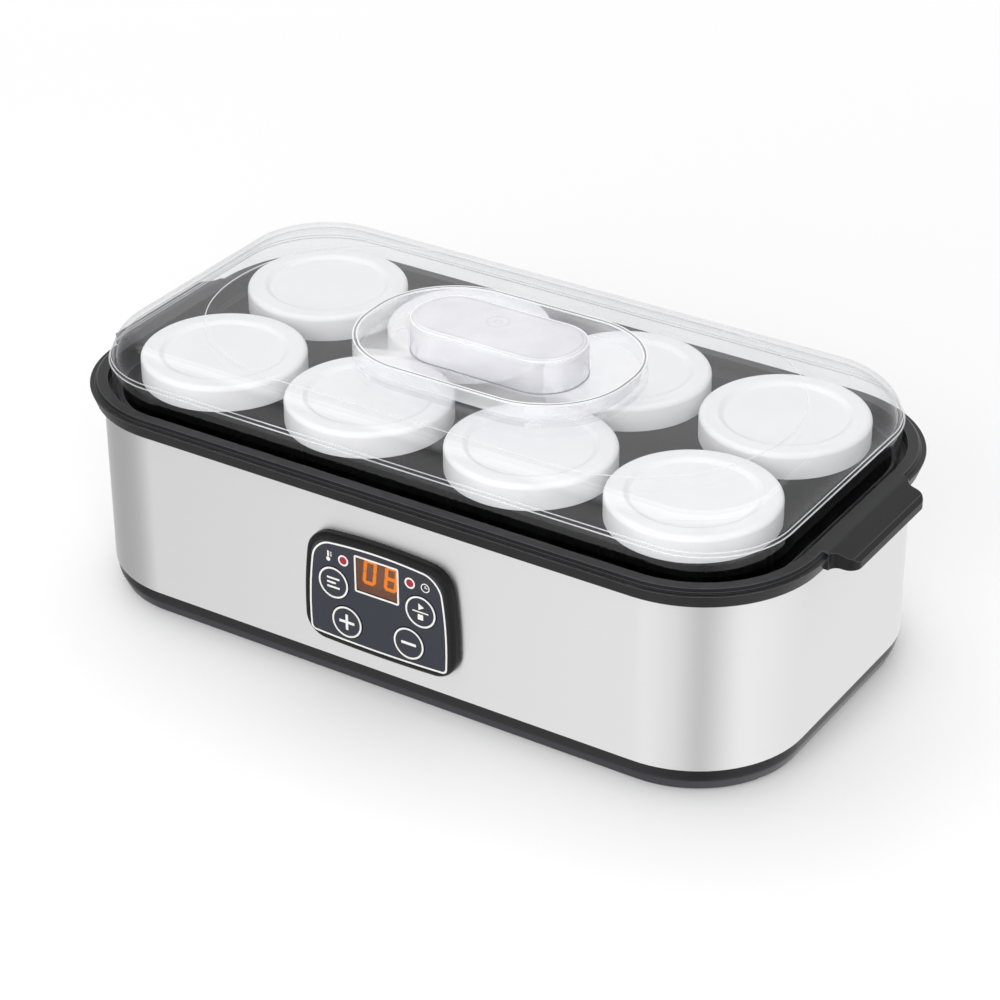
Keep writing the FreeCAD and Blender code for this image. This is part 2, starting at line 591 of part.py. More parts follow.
def handle_outline(sketch, side):
    rim_end = f"({half_length} + sizes.rim_overhang)"
    tip = "(sizes.overall_length / 2)"
    reach = f"({tip} - {rim_end})"
    flare = f"min(sizes.handle_flare; sizes.handle_flare_limit * {reach})"
    corner = f"min(sizes.handle_corner; sizes.handle_corner_limit * {reach})"
    root = f"({half_length} - sizes.ledge_width)"
    wide = "sizes.handle_half_width"
    root_wide = f"({wide} + {flare})"
    corner_wide = f"({wide} - {corner})"
    corners = [
        (root, minus(root_wide)),
        (rim_end, minus(root_wide), flare, -1),
        (f"({rim_end} + {flare})", minus(wide)),
        (f"({tip} - {corner})", minus(wide), corner, 1),
        (tip, minus(corner_wide)),
        (tip, corner_wide, corner, 1),
        (f"({tip} - {corner})", wide),
        (f"({rim_end} + {flare})", wide, flare, -1),
        (rim_end, root_wide),
        (root, root_wide),
    ]
    if side < 0:
        corners = [(minus(x), y, *mirrored(arc)) for x, y, *arc in corners]
    outline(sketch, corners)


# The radius and turn of an arc that is drawn mirrored or backwards
def mirrored(arc):
    return (arc[0], -arc[1]) if arc else ()


def handle_slope(sketch, side):
    start = f"({half_length} + sizes.rim_overhang - sizes.rim_step)"
    tip = "(sizes.overall_length / 2)"
    outer_top = f"({rim_top} - sizes.handle_drop)"
    beyond_tip = f"({tip} + sizes.handle_bevel)"
    above = f"({rim_top} + sizes.handle_bevel)"
    corners = [
        (start, rim_top),
        (f"({tip} - sizes.handle_bevel)", outer_top),
        (tip, f"({outer_top} - sizes.handle_bevel)"),
        (beyond_tip, f"({outer_top} - sizes.handle_bevel)"),
        (beyond_tip, above),
        (start, above),
    ]
    outline(sketch, [(f"{side} * {x}", z) for x, z in corners])


def make_steel_sleeve():
    body = new_piece("steel_sleeve")
    wall = body_outline(body, "sleeve_wall", sleeve_bottom, "0")
    rounded(wall, f"({half_length} - sizes.sleeve_sheet)", f"({half_width} - sizes.sleeve_sheet)",
            "(sizes.sleeve_corner - sizes.sleeve_sheet)")
    pad(body, wall, "sizes.sleeve_height")
    window = new_sketch(body, "panel_window", "XZ_Plane", front_face)
    bezel_outline(window, "sizes.bezel_lap")
    pocket(body, window, "2 * sizes.sleeve_sheet", along=False)
    hole = new_sketch(body, "gland_hole", "XZ_Plane", minus(front_face))
    circles(hole, [("sizes.gland_column", f"{sleeve_bottom} + sizes.gland_rise")],
            "sizes.gland_neck + sizes.close_clearance")
    pocket(body, hole, "2 * sizes.sleeve_sheet")


def make_base_pan():
    body = new_piece("base_pan")
    side = minus("sizes.base_inset")
    outer = body_outline(body, "base_outer", "sizes.foot_height", side)
    block_pad = pad(body, outer, "sizes.base_height")
    fillet(body, block_pad, edges_at(block_pad, "sizes.foot_height"),
           "min(sizes.base_round; sizes.base_height - sizes.round_margin)")
    lip_side = "(0 - sizes.sleeve_sheet - sizes.close_clearance)"
    lip = body_outline(body, "base_lip_ring", sleeve_bottom, lip_side)
    pad(body, lip, "sizes.base_lip")
    hollow_side = f"({lip_side} - sizes.base_floor)"
    low_side = f"({hollow_side} - sizes.base_round)"
    low = body_outline(body, "base_hollow_low", base_floor_top, low_side)
    high = body_outline(body, "base_hollow_high", sleeve_bottom, hollow_side)
    loft(body, low, high, "Subtractive")
    inside = body_outline(body, "base_hollow_lip", sleeve_bottom, hollow_side)
    pocket(body, inside, "sizes.base_lip")

    # Wells for the screws, seats for the feet and posts for the power board
    screw_places = four_corners("sizes.base_screw_column", "sizes.base_screw_row")
    wells = new_sketch(body, "base_wells", "XY_Plane", base_floor_top)
    circles(wells, screw_places, "sizes.base_well_radius")
    pad(body, wells, "sizes.base_well_height")
    heads = new_sketch(body, "base_well_bores", "XY_Plane", "sizes.foot_height")
    circles(heads, screw_places, "sizes.base_screw_head_radius + sizes.close_clearance")
    pocket(body, heads, "sizes.base_screw_sink")
    shanks = new_sketch(body, "base_screw_holes", "XY_Plane", "sizes.foot_height")
    circles(shanks, screw_places, "sizes.base_screw_radius + sizes.close_clearance")
    pocket(body, shanks, "sizes.base_floor + sizes.base_well_height + sizes.close_clearance")
    seats = new_sketch(body, "foot_seats", "XY_Plane", "sizes.foot_height")
    circles(seats, four_corners("sizes.foot_column", "sizes.foot_row"),
            "sizes.foot_radius + sizes.close_clearance")
    pocket(body, seats, "sizes.foot_recess")
    posts = new_sketch(body, "power_posts", "XY_Plane", base_floor_top)
    circles(posts, power_screw_places(), "sizes.board_post_radius")
    pad(body, posts, "sizes.power_post_height")
    pilots = new_sketch(body, "power_pilots", "XY_Plane", power_board_under)
    circles(pilots, power_screw_places(), "sizes.board_screw_radius + sizes.thread_clearance")
    pocket(body, pilots, "sizes.board_screw_bite + sizes.close_clearance", along=False)


def make_feet():
    body = new_piece("rubber_feet")
    plan = new_sketch(body, "feet_plan", "XY_Plane", "0")
    circles(plan, four_corners("sizes.foot_column", "sizes.foot_row"), "sizes.foot_radius")
    pad(body, plan, "sizes.foot_height + sizes.foot_recess")


def lid_outline(body, name, level, inset):
    sketch = new_sketch(body, name, "XY_Plane", level)
    rounded(sketch, f"({lid_half_length} - {inset})", f"({lid_half_width} - {inset})",
            f"(sizes.lid_corner - {inset})")
    return sketch


def oval(body, name, level, across, along, flat):
    sketch = new_sketch(body, name, "XY_Plane", level)
    rounded(sketch, across, along, f"({along} - {flat})")
    return sketch


lid_half_length = f"({half_length} + {mouth_offset} - sizes.lid_end_gap)"
lid_half_width = f"({half_width} + {mouth_offset} - sizes.lid_side_gap)"


def make_lid():
    body = new_piece("lid")
    crease = f"({ledge} + sizes.lid_wall_height)"
    top = f"({crease} + sizes.lid_shoulder_height)"
    oval_top = f"({top} + sizes.lid_oval_rise)"
    ring_top = f"({oval_top} + sizes.ring_rise)"
    well_floor = f"({oval_top} - sizes.well_sink)"
    ring_across, ring_along = "(sizes.ring_length / 2)", "(sizes.ring_width / 2)"
    grip_across, grip_along = "(sizes.grip_length / 2)", "(sizes.grip_width / 2)"
    well_across, well_along = f"({ring_across} - sizes.ring_wall)", f"({ring_along} - sizes.ring_wall)"

    # Upright wall and shoulder, hollow below, rounded inside and outside
    pad(body, lid_outline(body, "lid_wall_plan", ledge, "0"), "sizes.lid_wall_height")
    pad(body, lid_outline(body, "lid_shoulder_plan", crease, "sizes.lid_crease"),
        "sizes.lid_shoulder_height")
    top_under = f"({top} - sizes.lid_wall)"
    hollow = pocket(body, lid_outline(body, "lid_hollow", ledge, "sizes.lid_wall"),
                    f"{top_under} - {ledge}")
    shoulder = "min(sizes.lid_shoulder_round; sizes.lid_shoulder_height - sizes.round_margin)"
    inner = fillet(body, hollow, edges_at(hollow, top_under),
                   f"{shoulder} + sizes.lid_crease - sizes.lid_wall")
    fillet(body, inner, edges_at(inner, top), shoulder)

    # Slightly raised oval of the top
    crown = oval(body, "lid_oval", top, f"({lid_half_length} - sizes.lid_oval_end)",
                 f"({lid_half_width} - sizes.lid_oval_side)", "sizes.oval_flat")
    pad(body, crown, "sizes.lid_oval_rise")

    # Ring, the sunk floor inside it and the hollow grip that stands on that floor
    well_under = f"({well_floor} - sizes.lid_wall)"
    pad(body, oval(body, "ring_plan", well_under, ring_across, ring_along, "sizes.ring_flat"),
        f"{ring_top} - {well_under}")
    well = oval(body, "well_plan", well_floor, well_across, well_along, "sizes.ring_flat")
    well_cut = pocket(body, well, f"{ring_top} - {well_floor}")
    chamfer(body, well_cut, edges_at(well_cut, ring_top), "sizes.ring_bevel")
    grip = pad(body, oval(body, "grip_plan", well_floor, grip_across, grip_along, "sizes.oval_flat"),
               "sizes.grip_height")
    fillet(body, grip, edges_at(grip, f"{well_floor} + sizes.grip_height"), "sizes.grip_round")
    grip_hollow = oval(body, "grip_hollow", well_under, f"({grip_across} - sizes.lid_wall)",
                       f"({grip_along} - sizes.lid_wall)", "sizes.oval_flat")
    pocket(body, grip_hollow, "sizes.grip_height")


# Middles of the jars: four columns in two rows, the front row first
def jar_places():
    inner = "(sizes.middle_pitch / 2)"
    outer = f"({inner} + sizes.column_pitch)"
    columns = [minus(outer), minus(inner), inner, outer]
    return [(x, f"{row} * sizes.row_pitch / 2") for row in (-1, 1) for x in columns]


def set_place(body, place):
    body.setExpression("Placement.Base.x", place[0])
    body.setExpression("Placement.Base.y", place[1])


jar_radius = "(sizes.jar_lid_radius - sizes.jar_lid_wall - sizes.jar_lid_clearance)"
jar_top = f"({tub_floor_top} + sizes.jar_height)"


def make_jar(number, place):
    body = new_piece("jar_%d" % number)
    inside = f"({jar_radius} - sizes.jar_glass)"
    profile = new_sketch(body, "jar_profile", "XZ_Plane")
    outline(profile, [
        ("0", tub_floor_top),
        (jar_radius, tub_floor_top),
        (jar_radius, jar_top),
        (inside, jar_top),
        (inside, f"{tub_floor_top} + sizes.jar_bottom"),
        ("0", f"{tub_floor_top} + sizes.jar_bottom"),
    ])
    revolve(body, profile)
    set_place(body, place)


def make_jar_lid(number, place):
    body = new_piece("jar_lid_%d" % number)
    under = f"({jar_top} + sizes.jar_lid_clearance)"
    top = f"({under} + sizes.jar_lid_wall)"
    bottom = f"({top} - sizes.jar_lid_height)"
    inside = "(sizes.jar_lid_radius - sizes.jar_lid_wall)"
    profile = new_sketch(body, "jar_lid_profile", "XZ_Plane")
    outline(profile, [
        ("0", under),
        (inside, under),
        (inside, bottom),
        ("sizes.jar_lid_radius", bottom),
        ("sizes.jar_lid_radius", f"{top} - sizes.jar_lid_bevel"),
        ("sizes.jar_lid_radius - sizes.jar_lid_bevel", top),
        ("sizes.jar_lid_dish_radius", f"{top} - sizes.jar_lid_dish"),
        ("0", f"{top} - sizes.jar_lid_dish"),
    ])
    revolve(body, profile)
    set_place(body, place)


# The bezel's outline, curved on all sides, drawn in by an inset
def bezel_outline(sketch, inset):
    panel_outline(sketch, inset, "bezel_lower", "sizes.bezel_bottom_corner")


def panel_outline(sketch, inset, lower, lower_corner):
    side = f"(sizes.panel_side_round - {inset})"
    top = f"(sizes.panel_top_round - {inset})"
    bottom = f"(sizes.panel_bottom_round - {inset})"
    side_x = "(sizes.bezel_width / 2 - sizes.panel_side_round)"
    side_z = f"({bezel_bottom} + sizes.panel_widest_rise)"
    top_z = f"({bezel_bottom} + sizes.bezel_height - sizes.panel_top_round)"
    bottom_z = f"({bezel_bottom} + sizes.panel_bottom_round)"
    big = f"(sizes.bezel_top_corner - {inset})"
    small = f"({lower_corner} - {inset})"
    ends = [
        (f"({bottom} * sizes.{lower}_curve_x)", f"({bottom_z} + {bottom} * sizes.{lower}_curve_z)"),
        (f"({side_x} + {side} * sizes.{lower}_side_x)", f"({side_z} + {side} * sizes.{lower}_side_z)"),
        (f"({side_x} + {side} * sizes.bezel_upper_side_x)",
         f"({side_z} + {side} * sizes.bezel_upper_side_z)"),
        (f"({top} * sizes.bezel_upper_curve_x)", f"({top_z} + {top} * sizes.bezel_upper_curve_z)"),
    ]
    corners = [(*place, radius, 1) for place, radius in zip(ends, (small, side, big, top))]
    back = [(minus(x), z) for x, z in reversed(ends)]
    corners += [(*place, radius, 1) for place, radius in zip(back, (big, side, small, bottom))]
    outline(sketch, corners)


KEYS = [
    ("key_set", -1, "upper"),
    ("key_start", 1, "upper"),
    ("key_plus", -1, "lower"),
    ("key_minus", 1, "lower"),
]


def key_place(side, level):
    return (f"{side} * sizes.{level}_key_column", f"{bezel_bottom} + sizes.{level}_key_rise")


def key_places():
    return [key_place(side, level) for name, side, level in KEYS]


def lamp_places():
    return [(f"{side} * sizes.lamp_column", f"{bezel_bottom} + sizes.lamp_rise") for side in (-1, 1)]


display_place = ("0", f"({bezel_bottom} + sizes.display_rise)")
display_across, display_along = "(sizes.display_width / 2)", "(sizes.display_height / 2)"
module_across = f"({display_across} + sizes.display_module_margin)"
module_along = f"({display_along} + sizes.display_module_margin)"


def board_screw_places():
    across = "(sizes.board_width / 2 - sizes.board_screw_inset)"
    low = f"({bezel_bottom} + sizes.board_rise + sizes.board_screw_inset)"
    high = f"({low} + sizes.board_height - 2 * sizes.board_screw_inset)"
    return [(f"{side} * {across}", level) for side in (-1, 1) for level in (low, high)]


def make_control_bezel():
    body = new_piece("control_bezel")
    frame = new_sketch(body, "bezel_frame", "XZ_Plane", front_face)
    bezel_outline(frame, "0")
    frame_pad = pad(body, frame, "sizes.bezel_proud")
    doc.recompute()
    front = value(overlay_front)
    rim_edges = [
        "Edge%d" % number
        for number, edge in enumerate(frame_pad.Shape.Edges, start=1)
        if abs(edge.BoundBox.YMax + front) < touch
    ]
    fillet(body, frame_pad, rim_edges, "min(sizes.bezel_edge; sizes.bezel_border - sizes.round_margin)")
    neck = new_sketch(body, "bezel_neck", "XZ_Plane", front_face)
    bezel_outline(neck, "(sizes.bezel_lap + sizes.close_clearance)")
    pad(body, neck, "sizes.sleeve_sheet + sizes.close_clearance", backwards=True)

    # Seat of the overlay in front, and the hollow behind the web
    seat = new_sketch(body, "overlay_seat", "XZ_Plane", overlay_front)
    overlay_outline(seat, "0")
    pocket(body, seat, "sizes.overlay_sheet", along=False)
    hollow = new_sketch(body, "bezel_hollow", "XZ_Plane",
                        f"{front_face} - sizes.sleeve_sheet - sizes.close_clearance")
    bezel_outline(hollow, "(sizes.bezel_lap + sizes.close_clearance + sizes.bezel_web)")
    pocket(body, hollow, f"{overlay_back} - sizes.bezel_web - {front_face} + sizes.sleeve_sheet"
                         " + sizes.close_clearance")

    # Openings for the keys, the lamps and the display
    openings = new_sketch(body, "bezel_openings", "XZ_Plane", overlay_back)
    circles(openings, key_places(), "sizes.key_radius + sizes.key_flange + sizes.close_clearance")
    circles(openings, lamp_places(), "sizes.lamp_radius + sizes.close_clearance")
    rectangle(openings, f"{module_across} + sizes.close_clearance",
              f"{module_along} + sizes.close_clearance", display_place)
    pocket(body, openings, "sizes.bezel_web", along=False)

    # Posts that carry the control board
    web_back = f"({overlay_back} - sizes.bezel_web)"
    posts = new_sketch(body, "board_posts", "XZ_Plane", board_front)
    circles(posts, board_screw_places(), "sizes.board_post_radius")
    pad(body, posts, f"{web_back} - {board_front}")
    pilots = new_sketch(body, "board_pilots", "XZ_Plane", board_front)
    circles(pilots, board_screw_places(), "sizes.board_screw_radius + sizes.thread_clearance")
    pocket(body, pilots, "sizes.board_screw_bite + sizes.close_clearance")


def overlay_outline(sketch, clearance):
    panel_outline(sketch, f"(sizes.bezel_border + {clearance})", "overlay_lower",
                  "(sizes.bezel_border + sizes.overlay_corner)")


def make_control_overlay():
    body = new_piece("control_overlay")
    sheet_plan = new_sketch(body, "overlay_plan", "XZ_Plane", overlay_back)
    overlay_outline(sheet_plan, "sizes.close_clearance / 2")
    circles(sheet_plan, key_places(), "sizes.key_radius + sizes.close_clearance")
    circles(sheet_plan, lamp_places(), "sizes.lamp_radius + sizes.close_clearance")
    rectangle(sheet_plan, f"{display_across} + sizes.close_clearance / 2",
              f"{display_along} + sizes.close_clearance / 2", display_place)
    pad(body, sheet_plan, "sizes.overlay_sheet")


def make_key(name, place):
    body = new_piece(name)
    flange = new_sketch(body, "key_flange_plan", "XZ_Plane", f"{overlay_back} - sizes.key_flange_sheet")
    circles(flange, [place], "sizes.key_radius + sizes.key_flange")
    pad(body, flange, "sizes.key_flange_sheet")
    cap = new_sketch(body, "key_cap_plan", "XZ_Plane", overlay_back)
    circles(cap, [place], "sizes.key_radius")
    pad(body, cap, "sizes.overlay_sheet + sizes.key_proud")
    stem_end = (f"({board_front} + sizes.switch_height + sizes.switch_plunger"
                " + sizes.key_travel + sizes.close_clearance)")
    stem = new_sketch(body, "key_stem_plan", "XZ_Plane", stem_end)
    circles(stem, [place], "sizes.key_stem_radius")
    pad(body, stem, f"{overlay_back} - sizes.key_flange_sheet - {stem_end}")


def make_display():
    module_front = f"({overlay_front} - sizes.display_window_sheet)"
    window = new_piece("display_window")
    pane = new_sketch(window, "window_plan", "XZ_Plane", module_front)
    rectangle(pane, f"{display_across} - sizes.close_clearance / 2",
              f"{display_along} - sizes.close_clearance / 2", display_place)
    pad(window, pane, "sizes.display_window_sheet")
    module = new_piece("display_module")
    case = new_sketch(module, "module_plan", "XZ_Plane", board_front)
    rectangle(case, module_across, module_along, display_place)
    pad(module, case, f"min({module_front}; {overlay_back}) - {board_front}")
    lamps = new_piece("indicator_lamps")
    lens = new_sketch(lamps, "lamp_plan", "XZ_Plane", board_front)
    circles(lens, lamp_places(), "sizes.lamp_radius")
    pad(lamps, lens, f"{overlay_front} - {board_front}")


def make_control_board():
    board = new_piece("control_board")
    plan = new_sketch(board, "board_plan", "XZ_Plane", board_front)
    rectangle(plan, "sizes.board_width / 2", "sizes.board_height / 2",
              ("0", f"({bezel_bottom} + sizes.board_rise + sizes.board_height / 2)"))
    circles(plan, board_screw_places(), "sizes.board_screw_radius + sizes.close_clearance")
    pad(board, plan, "sizes.board_sheet", backwards=True)
    screws("control_board_screws", "XZ_Plane", board_screw_places(),
           f"{board_front} - sizes.board_sheet - sizes.board_screw_head", "sizes.board_screw_head",
           "sizes.board_screw_head_radius", "sizes.board_sheet + sizes.board_screw_bite",
           "sizes.board_screw_radius")
    switches = new_piece("tact_switches")
    cases = new_sketch(switches, "switch_plan", "XZ_Plane", board_front)
    for place in key_places():
        rectangle(cases, "sizes.switch_side / 2", "sizes.switch_side / 2", place)
    pad(switches, cases, "sizes.switch_height")
    plungers = new_sketch(switches, "plunger_plan", "XZ_Plane", f"{board_front} + sizes.switch_height")
    circles(plungers, key_places(), "sizes.switch_plunger_radius")
    pad(switches, plungers, "sizes.switch_plunger")


def make_heater():
    plate = new_piece("heater_plate")
    plan = new_sketch(plate, "heater_plate_plan", "XY_Plane", heater_plate_under)
    rounded(plan, "sizes.heater_plate_length / 2", "sizes.heater_plate_width / 2",
            "sizes.heater_plate_corner")
    pad(plate, plan, "sizes.heater_plate_sheet")

    # Heater strip: four straight runs joined by half turns, each drawn as two quarter turns
    strip = new_piece("heater_strip")
    winding = new_sketch(strip, "heater_winding", "XY_Plane", shield_top)
    outline(winding, heater_outline())
    pad(strip, winding, "sizes.heater_strip_height")

    # Shield: a tray of sheet metal that holds the plate and the cord up against the tub
    shield = new_piece("heat_shield")
    under = f"({shield_top} - sizes.shield_sheet)"
    tray = new_sketch(shield, "shield_plan", "XY_Plane", under)
    rounded(tray, "sizes.shield_length / 2", "sizes.shield_width / 2", "sizes.shield_corner")
    circles(tray, four_corners("sizes.shield_boss_column", "sizes.shield_boss_row"),
            "sizes.board_screw_radius + sizes.close_clearance")
    pad(shield, tray, "sizes.shield_sheet")
    lip = new_sketch(shield, "shield_lip_plan", "XY_Plane", shield_top)
    rounded(lip, "sizes.shield_length / 2", "sizes.shield_width / 2", "sizes.shield_corner")
    rounded(lip, "(sizes.shield_length / 2 - sizes.shield_sheet)",
            "(sizes.shield_width / 2 - sizes.shield_sheet)", "(sizes.shield_corner - sizes.shield_sheet)")
    pad(shield, lip, "sizes.shield_lip")
    screws("heat_shield_screws", "XY_Plane",
           four_corners("sizes.shield_boss_column", "sizes.shield_boss_row"),
           f"{under} - sizes.board_screw_head", "sizes.board_screw_head", "sizes.board_screw_head_radius",
           "sizes.shield_sheet + sizes.board_screw_bite", "sizes.board_screw_radius")
    for name, length, side in (("temperature_sensor", "sizes.sensor_length", -1),
                               ("thermal_fuse", "sizes.fuse_length", 1)):
        capsule = new_piece(name)
        end = new_sketch(capsule, name + "_section", "YZ_Plane", f"{side} * {length} - {length} / 2")
        circles(end, [("0", f"{heater_plate_under} - sizes.sensor_radius")], "sizes.sensor_radius")
        pad(capsule, end, length)


# One side of the strip from its start to its end, then the other side back
def heater_outline():
    half_run = "(sizes.heater_run / 2)"
    there = []
    back = []
    for run in range(heater_runs):
        side = 1 if run % 2 == 0 else -1
        middle = f"(({run} - {(heater_runs - 1) / 2}) * sizes.heater_pitch)"
        for edge, corners in ((1, there), (-1, back)):
            y = f"({middle} - {edge * side} * sizes.heater_strip_width / 2)"
            corners.append((f"({-side} * {half_run})", y))
            if run == heater_runs - 1:
                corners.append((f"({side} * {half_run})", y))
                continue
            turn = f"((sizes.heater_pitch + {edge * side} * sizes.heater_strip_width) / 2)"
            corners.append((f"({side} * {half_run})", y, turn, side))
            corners.append((f"({side} * ({half_run} + {turn}))", f"({y} + {turn})", turn, side))
    returning = []
    for number in range(len(back) - 1, -1, -1):
        arc = back[number - 1][2:] if number else ()
        returning.append((*back[number][:2], *mirrored(arc)))
    return there + returning


def make_base_screws():
    head_level = "(sizes.foot_height + sizes.base_screw_sink - sizes.base_screw_head)"
    length = (f"({base_well_top} - sizes.foot_height - sizes.base_screw_sink"
              " + sizes.base_screw_bite)")
    screws("base_screws", "XY_Plane", four_corners("sizes.base_screw_column", "sizes.base_screw_row"),
           head_level, "sizes.base_screw_head", "sizes.base_screw_head_radius", length,
           "sizes.base_screw_radius")


def power_screw_places():
    across = "(sizes.power_board_length / 2 - sizes.board_screw_inset)"
    along = "(sizes.power_board_width / 2 - sizes.board_screw_inset)"
    return [(f"sizes.power_board_x + {x}", f"sizes.power_board_y + {y}")
            for x, y in four_corners(across, along)]


def make_power_board():
    board = new_piece("power_board")
    plan = new_sketch(board, "power_board_plan", "XY_Plane", power_board_under)
    rectangle(plan, "sizes.power_board_length / 2", "sizes.power_board_width / 2",
              ("sizes.power_board_x", "sizes.power_board_y"))
    circles(plan, power_screw_places(), "sizes.board_screw_radius + sizes.close_clearance")
    pad(board, plan, "sizes.board_sheet")
    screws("power_board_screws", "XY_Plane", power_screw_places(),
           f"{power_board_top} + sizes.board_screw_head", "sizes.board_screw_head",
           "sizes.board_screw_head_radius", "sizes.board_sheet + sizes.board_screw_bite",
           "sizes.board_screw_radius", backwards=True)
    left = "(sizes.power_board_x - sizes.part_spacing)"
    right = "(sizes.power_board_x + sizes.part_spacing)"
    back = "(sizes.power_board_y + sizes.part_spacing / 2)"
    front = "(sizes.power_board_y - sizes.part_spacing / 2)"
    block("relay", "sizes.relay_length", "sizes.relay_width", power_board_top, "sizes.relay_height",
          (f"({left} - sizes.relay_length / 2)", f"({front} - sizes.relay_width / 2)"))
    block("film_capacitor", "sizes.film_capacitor_length", "sizes.film_capacitor_width", power_board_top,
          "sizes.film_capacitor_height",
          (f"({right} + sizes.film_capacitor_length / 2)", f"({back} + sizes.film_capacitor_width / 2)"))
    block("terminal_block", "sizes.terminal_length", "sizes.terminal_width", power_board_top,
          "sizes.terminal_height",
          (f"({left} - sizes.terminal_length / 2)", f"({back} + sizes.terminal_width / 2)"))
    can = new_piece("storage_capacitor")
    can_plan = new_sketch(can, "can_plan", "XY_Plane", power_board_top)
    circles(can_plan, [(f"{right} + sizes.storage_capacitor_radius",
                        f"{front} - sizes.storage_capacitor_radius")], "sizes.storage_capacitor_radius")
    pad(can, can_plan, "sizes.storage_capacitor_height")


def make_cord_gland():
    body = new_piece("cord_gland")
    place = [("sizes.gland_column", f"({sleeve_bottom} + sizes.gland_rise)")]
    back_face = minus(front_face)
    flange = new_sketch(body, "gland_flange_plan", "XZ_Plane", back_face)
    circles(flange, place, "sizes.gland_flange")
    circles(flange, place, "sizes.gland_bore")
    pad(body, flange, "sizes.gland_flange_sheet", backwards=True)
    neck = new_sketch(body, "gland_neck_plan", "XZ_Plane", back_face)
    circles(neck, place, "sizes.gland_neck")
    circles(neck, place, "sizes.gland_bore")
    pad(body, neck, "sizes.sleeve_sheet + sizes.close_clearance")
    collar = new_sketch(body, "gland_collar_plan", "XZ_Plane",
                        f"{back_face} + sizes.sleeve_sheet + sizes.close_clearance")
    circles(collar, place, "sizes.gland_neck + 2 * sizes.close_clearance")
    circles(collar, place, "sizes.gland_bore")
    pad(body, collar, "sizes.gland_collar_sheet")


make_base_pan()
make_feet()
make_base_screws()
make_cord_gland()
make_power_board()
make_heater()
make_upper_housing()
make_steel_sleeve()
make_control_board()
make_control_bezel()
make_control_overlay()
make_display()
for key_name, key_side, key_level in KEYS:
    make_key(key_name, key_place(key_side, key_level))
for jar_number, jar_place in enumerate(jar_places(), start=1):
    make_jar(jar_number, jar_place)
    make_jar_lid(jar_number, jar_place)
make_lid()
doc.recompute()

for item in doc.Objects:
    if "Invalid" in item.State or "Error" in item.State:
        raise RuntimeError("%s failed: %s" % (item.Name, item.State))
for piece in pieces:
    if piece.Shape.isNull() or not piece.Shape.isValid() or not piece.Shape.Solids:
        raise RuntimeError(piece.Label + " has no valid solid")

os.makedirs("parts", exist_ok=True)
for piece in pieces:
    piece.Shape.exportStep(os.path.join("parts", piece.Label + ".step"))
    print(piece.Label, len(piece.Shape.Solids), "solids", round(piece.Shape.Volume, 1), "mm3")
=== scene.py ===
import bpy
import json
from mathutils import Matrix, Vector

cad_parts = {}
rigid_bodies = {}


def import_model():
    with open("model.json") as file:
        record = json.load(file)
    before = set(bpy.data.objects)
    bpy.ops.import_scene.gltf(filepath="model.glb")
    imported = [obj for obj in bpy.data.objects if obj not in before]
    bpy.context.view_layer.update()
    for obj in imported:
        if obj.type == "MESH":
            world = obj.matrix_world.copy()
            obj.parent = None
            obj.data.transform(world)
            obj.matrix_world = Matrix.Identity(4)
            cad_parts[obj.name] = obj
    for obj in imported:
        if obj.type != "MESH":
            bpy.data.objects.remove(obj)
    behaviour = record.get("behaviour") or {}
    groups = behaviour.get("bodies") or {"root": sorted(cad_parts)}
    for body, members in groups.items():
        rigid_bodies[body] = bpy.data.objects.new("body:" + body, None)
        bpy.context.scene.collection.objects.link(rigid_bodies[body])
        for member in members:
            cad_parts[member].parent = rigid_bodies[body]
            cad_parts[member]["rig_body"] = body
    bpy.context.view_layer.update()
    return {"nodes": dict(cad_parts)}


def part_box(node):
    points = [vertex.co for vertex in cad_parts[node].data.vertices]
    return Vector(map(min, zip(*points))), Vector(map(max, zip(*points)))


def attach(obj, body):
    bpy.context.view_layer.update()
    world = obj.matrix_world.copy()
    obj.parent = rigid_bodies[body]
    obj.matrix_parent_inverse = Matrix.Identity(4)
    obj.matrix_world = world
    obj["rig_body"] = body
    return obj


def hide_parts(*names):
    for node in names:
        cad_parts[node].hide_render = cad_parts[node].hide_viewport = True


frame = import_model()

import json
import math

import bmesh
import bpy
from mathutils import Matrix, Vector

mm = 0.001
scene = bpy.context.scene
scene.view_settings.view_transform = "Standard"
nodes = frame["nodes"]
print("frame loaded,", len(nodes), "nodes")


# a socket that takes part in Python sums, each operator adds one Math node
class Value:
    def __init__(self, tree, socket):
        self.tree, self.socket = tree, socket

    def join(self, operation, other, swapped=False):
        mathNode = self.tree.nodes.new("ShaderNodeMath")
        mathNode.operation = operation
        pair = (other, self) if swapped else (self, other)
        for place, item in zip(mathNode.inputs, pair):
            if isinstance(item, Value):
                self.tree.links.new(item.socket, place)
            else:
                place.default_value = item
        return Value(self.tree, mathNode.outputs[0])

    def __add__(self, other): return self.join("ADD", other)
    def __radd__(self, other): return self.join("ADD", other, True)
    def __sub__(self, other): return self.join("SUBTRACT", other)
    def __rsub__(self, other): return self.join("SUBTRACT", other, True)
    def __mul__(self, other): return self.join("MULTIPLY", other)
    def __rmul__(self, other): return self.join("MULTIPLY", other, True)
    def __truediv__(self, other): return self.join("DIVIDE", other)
    def __pow__(self, other): return self.join("POWER", other)


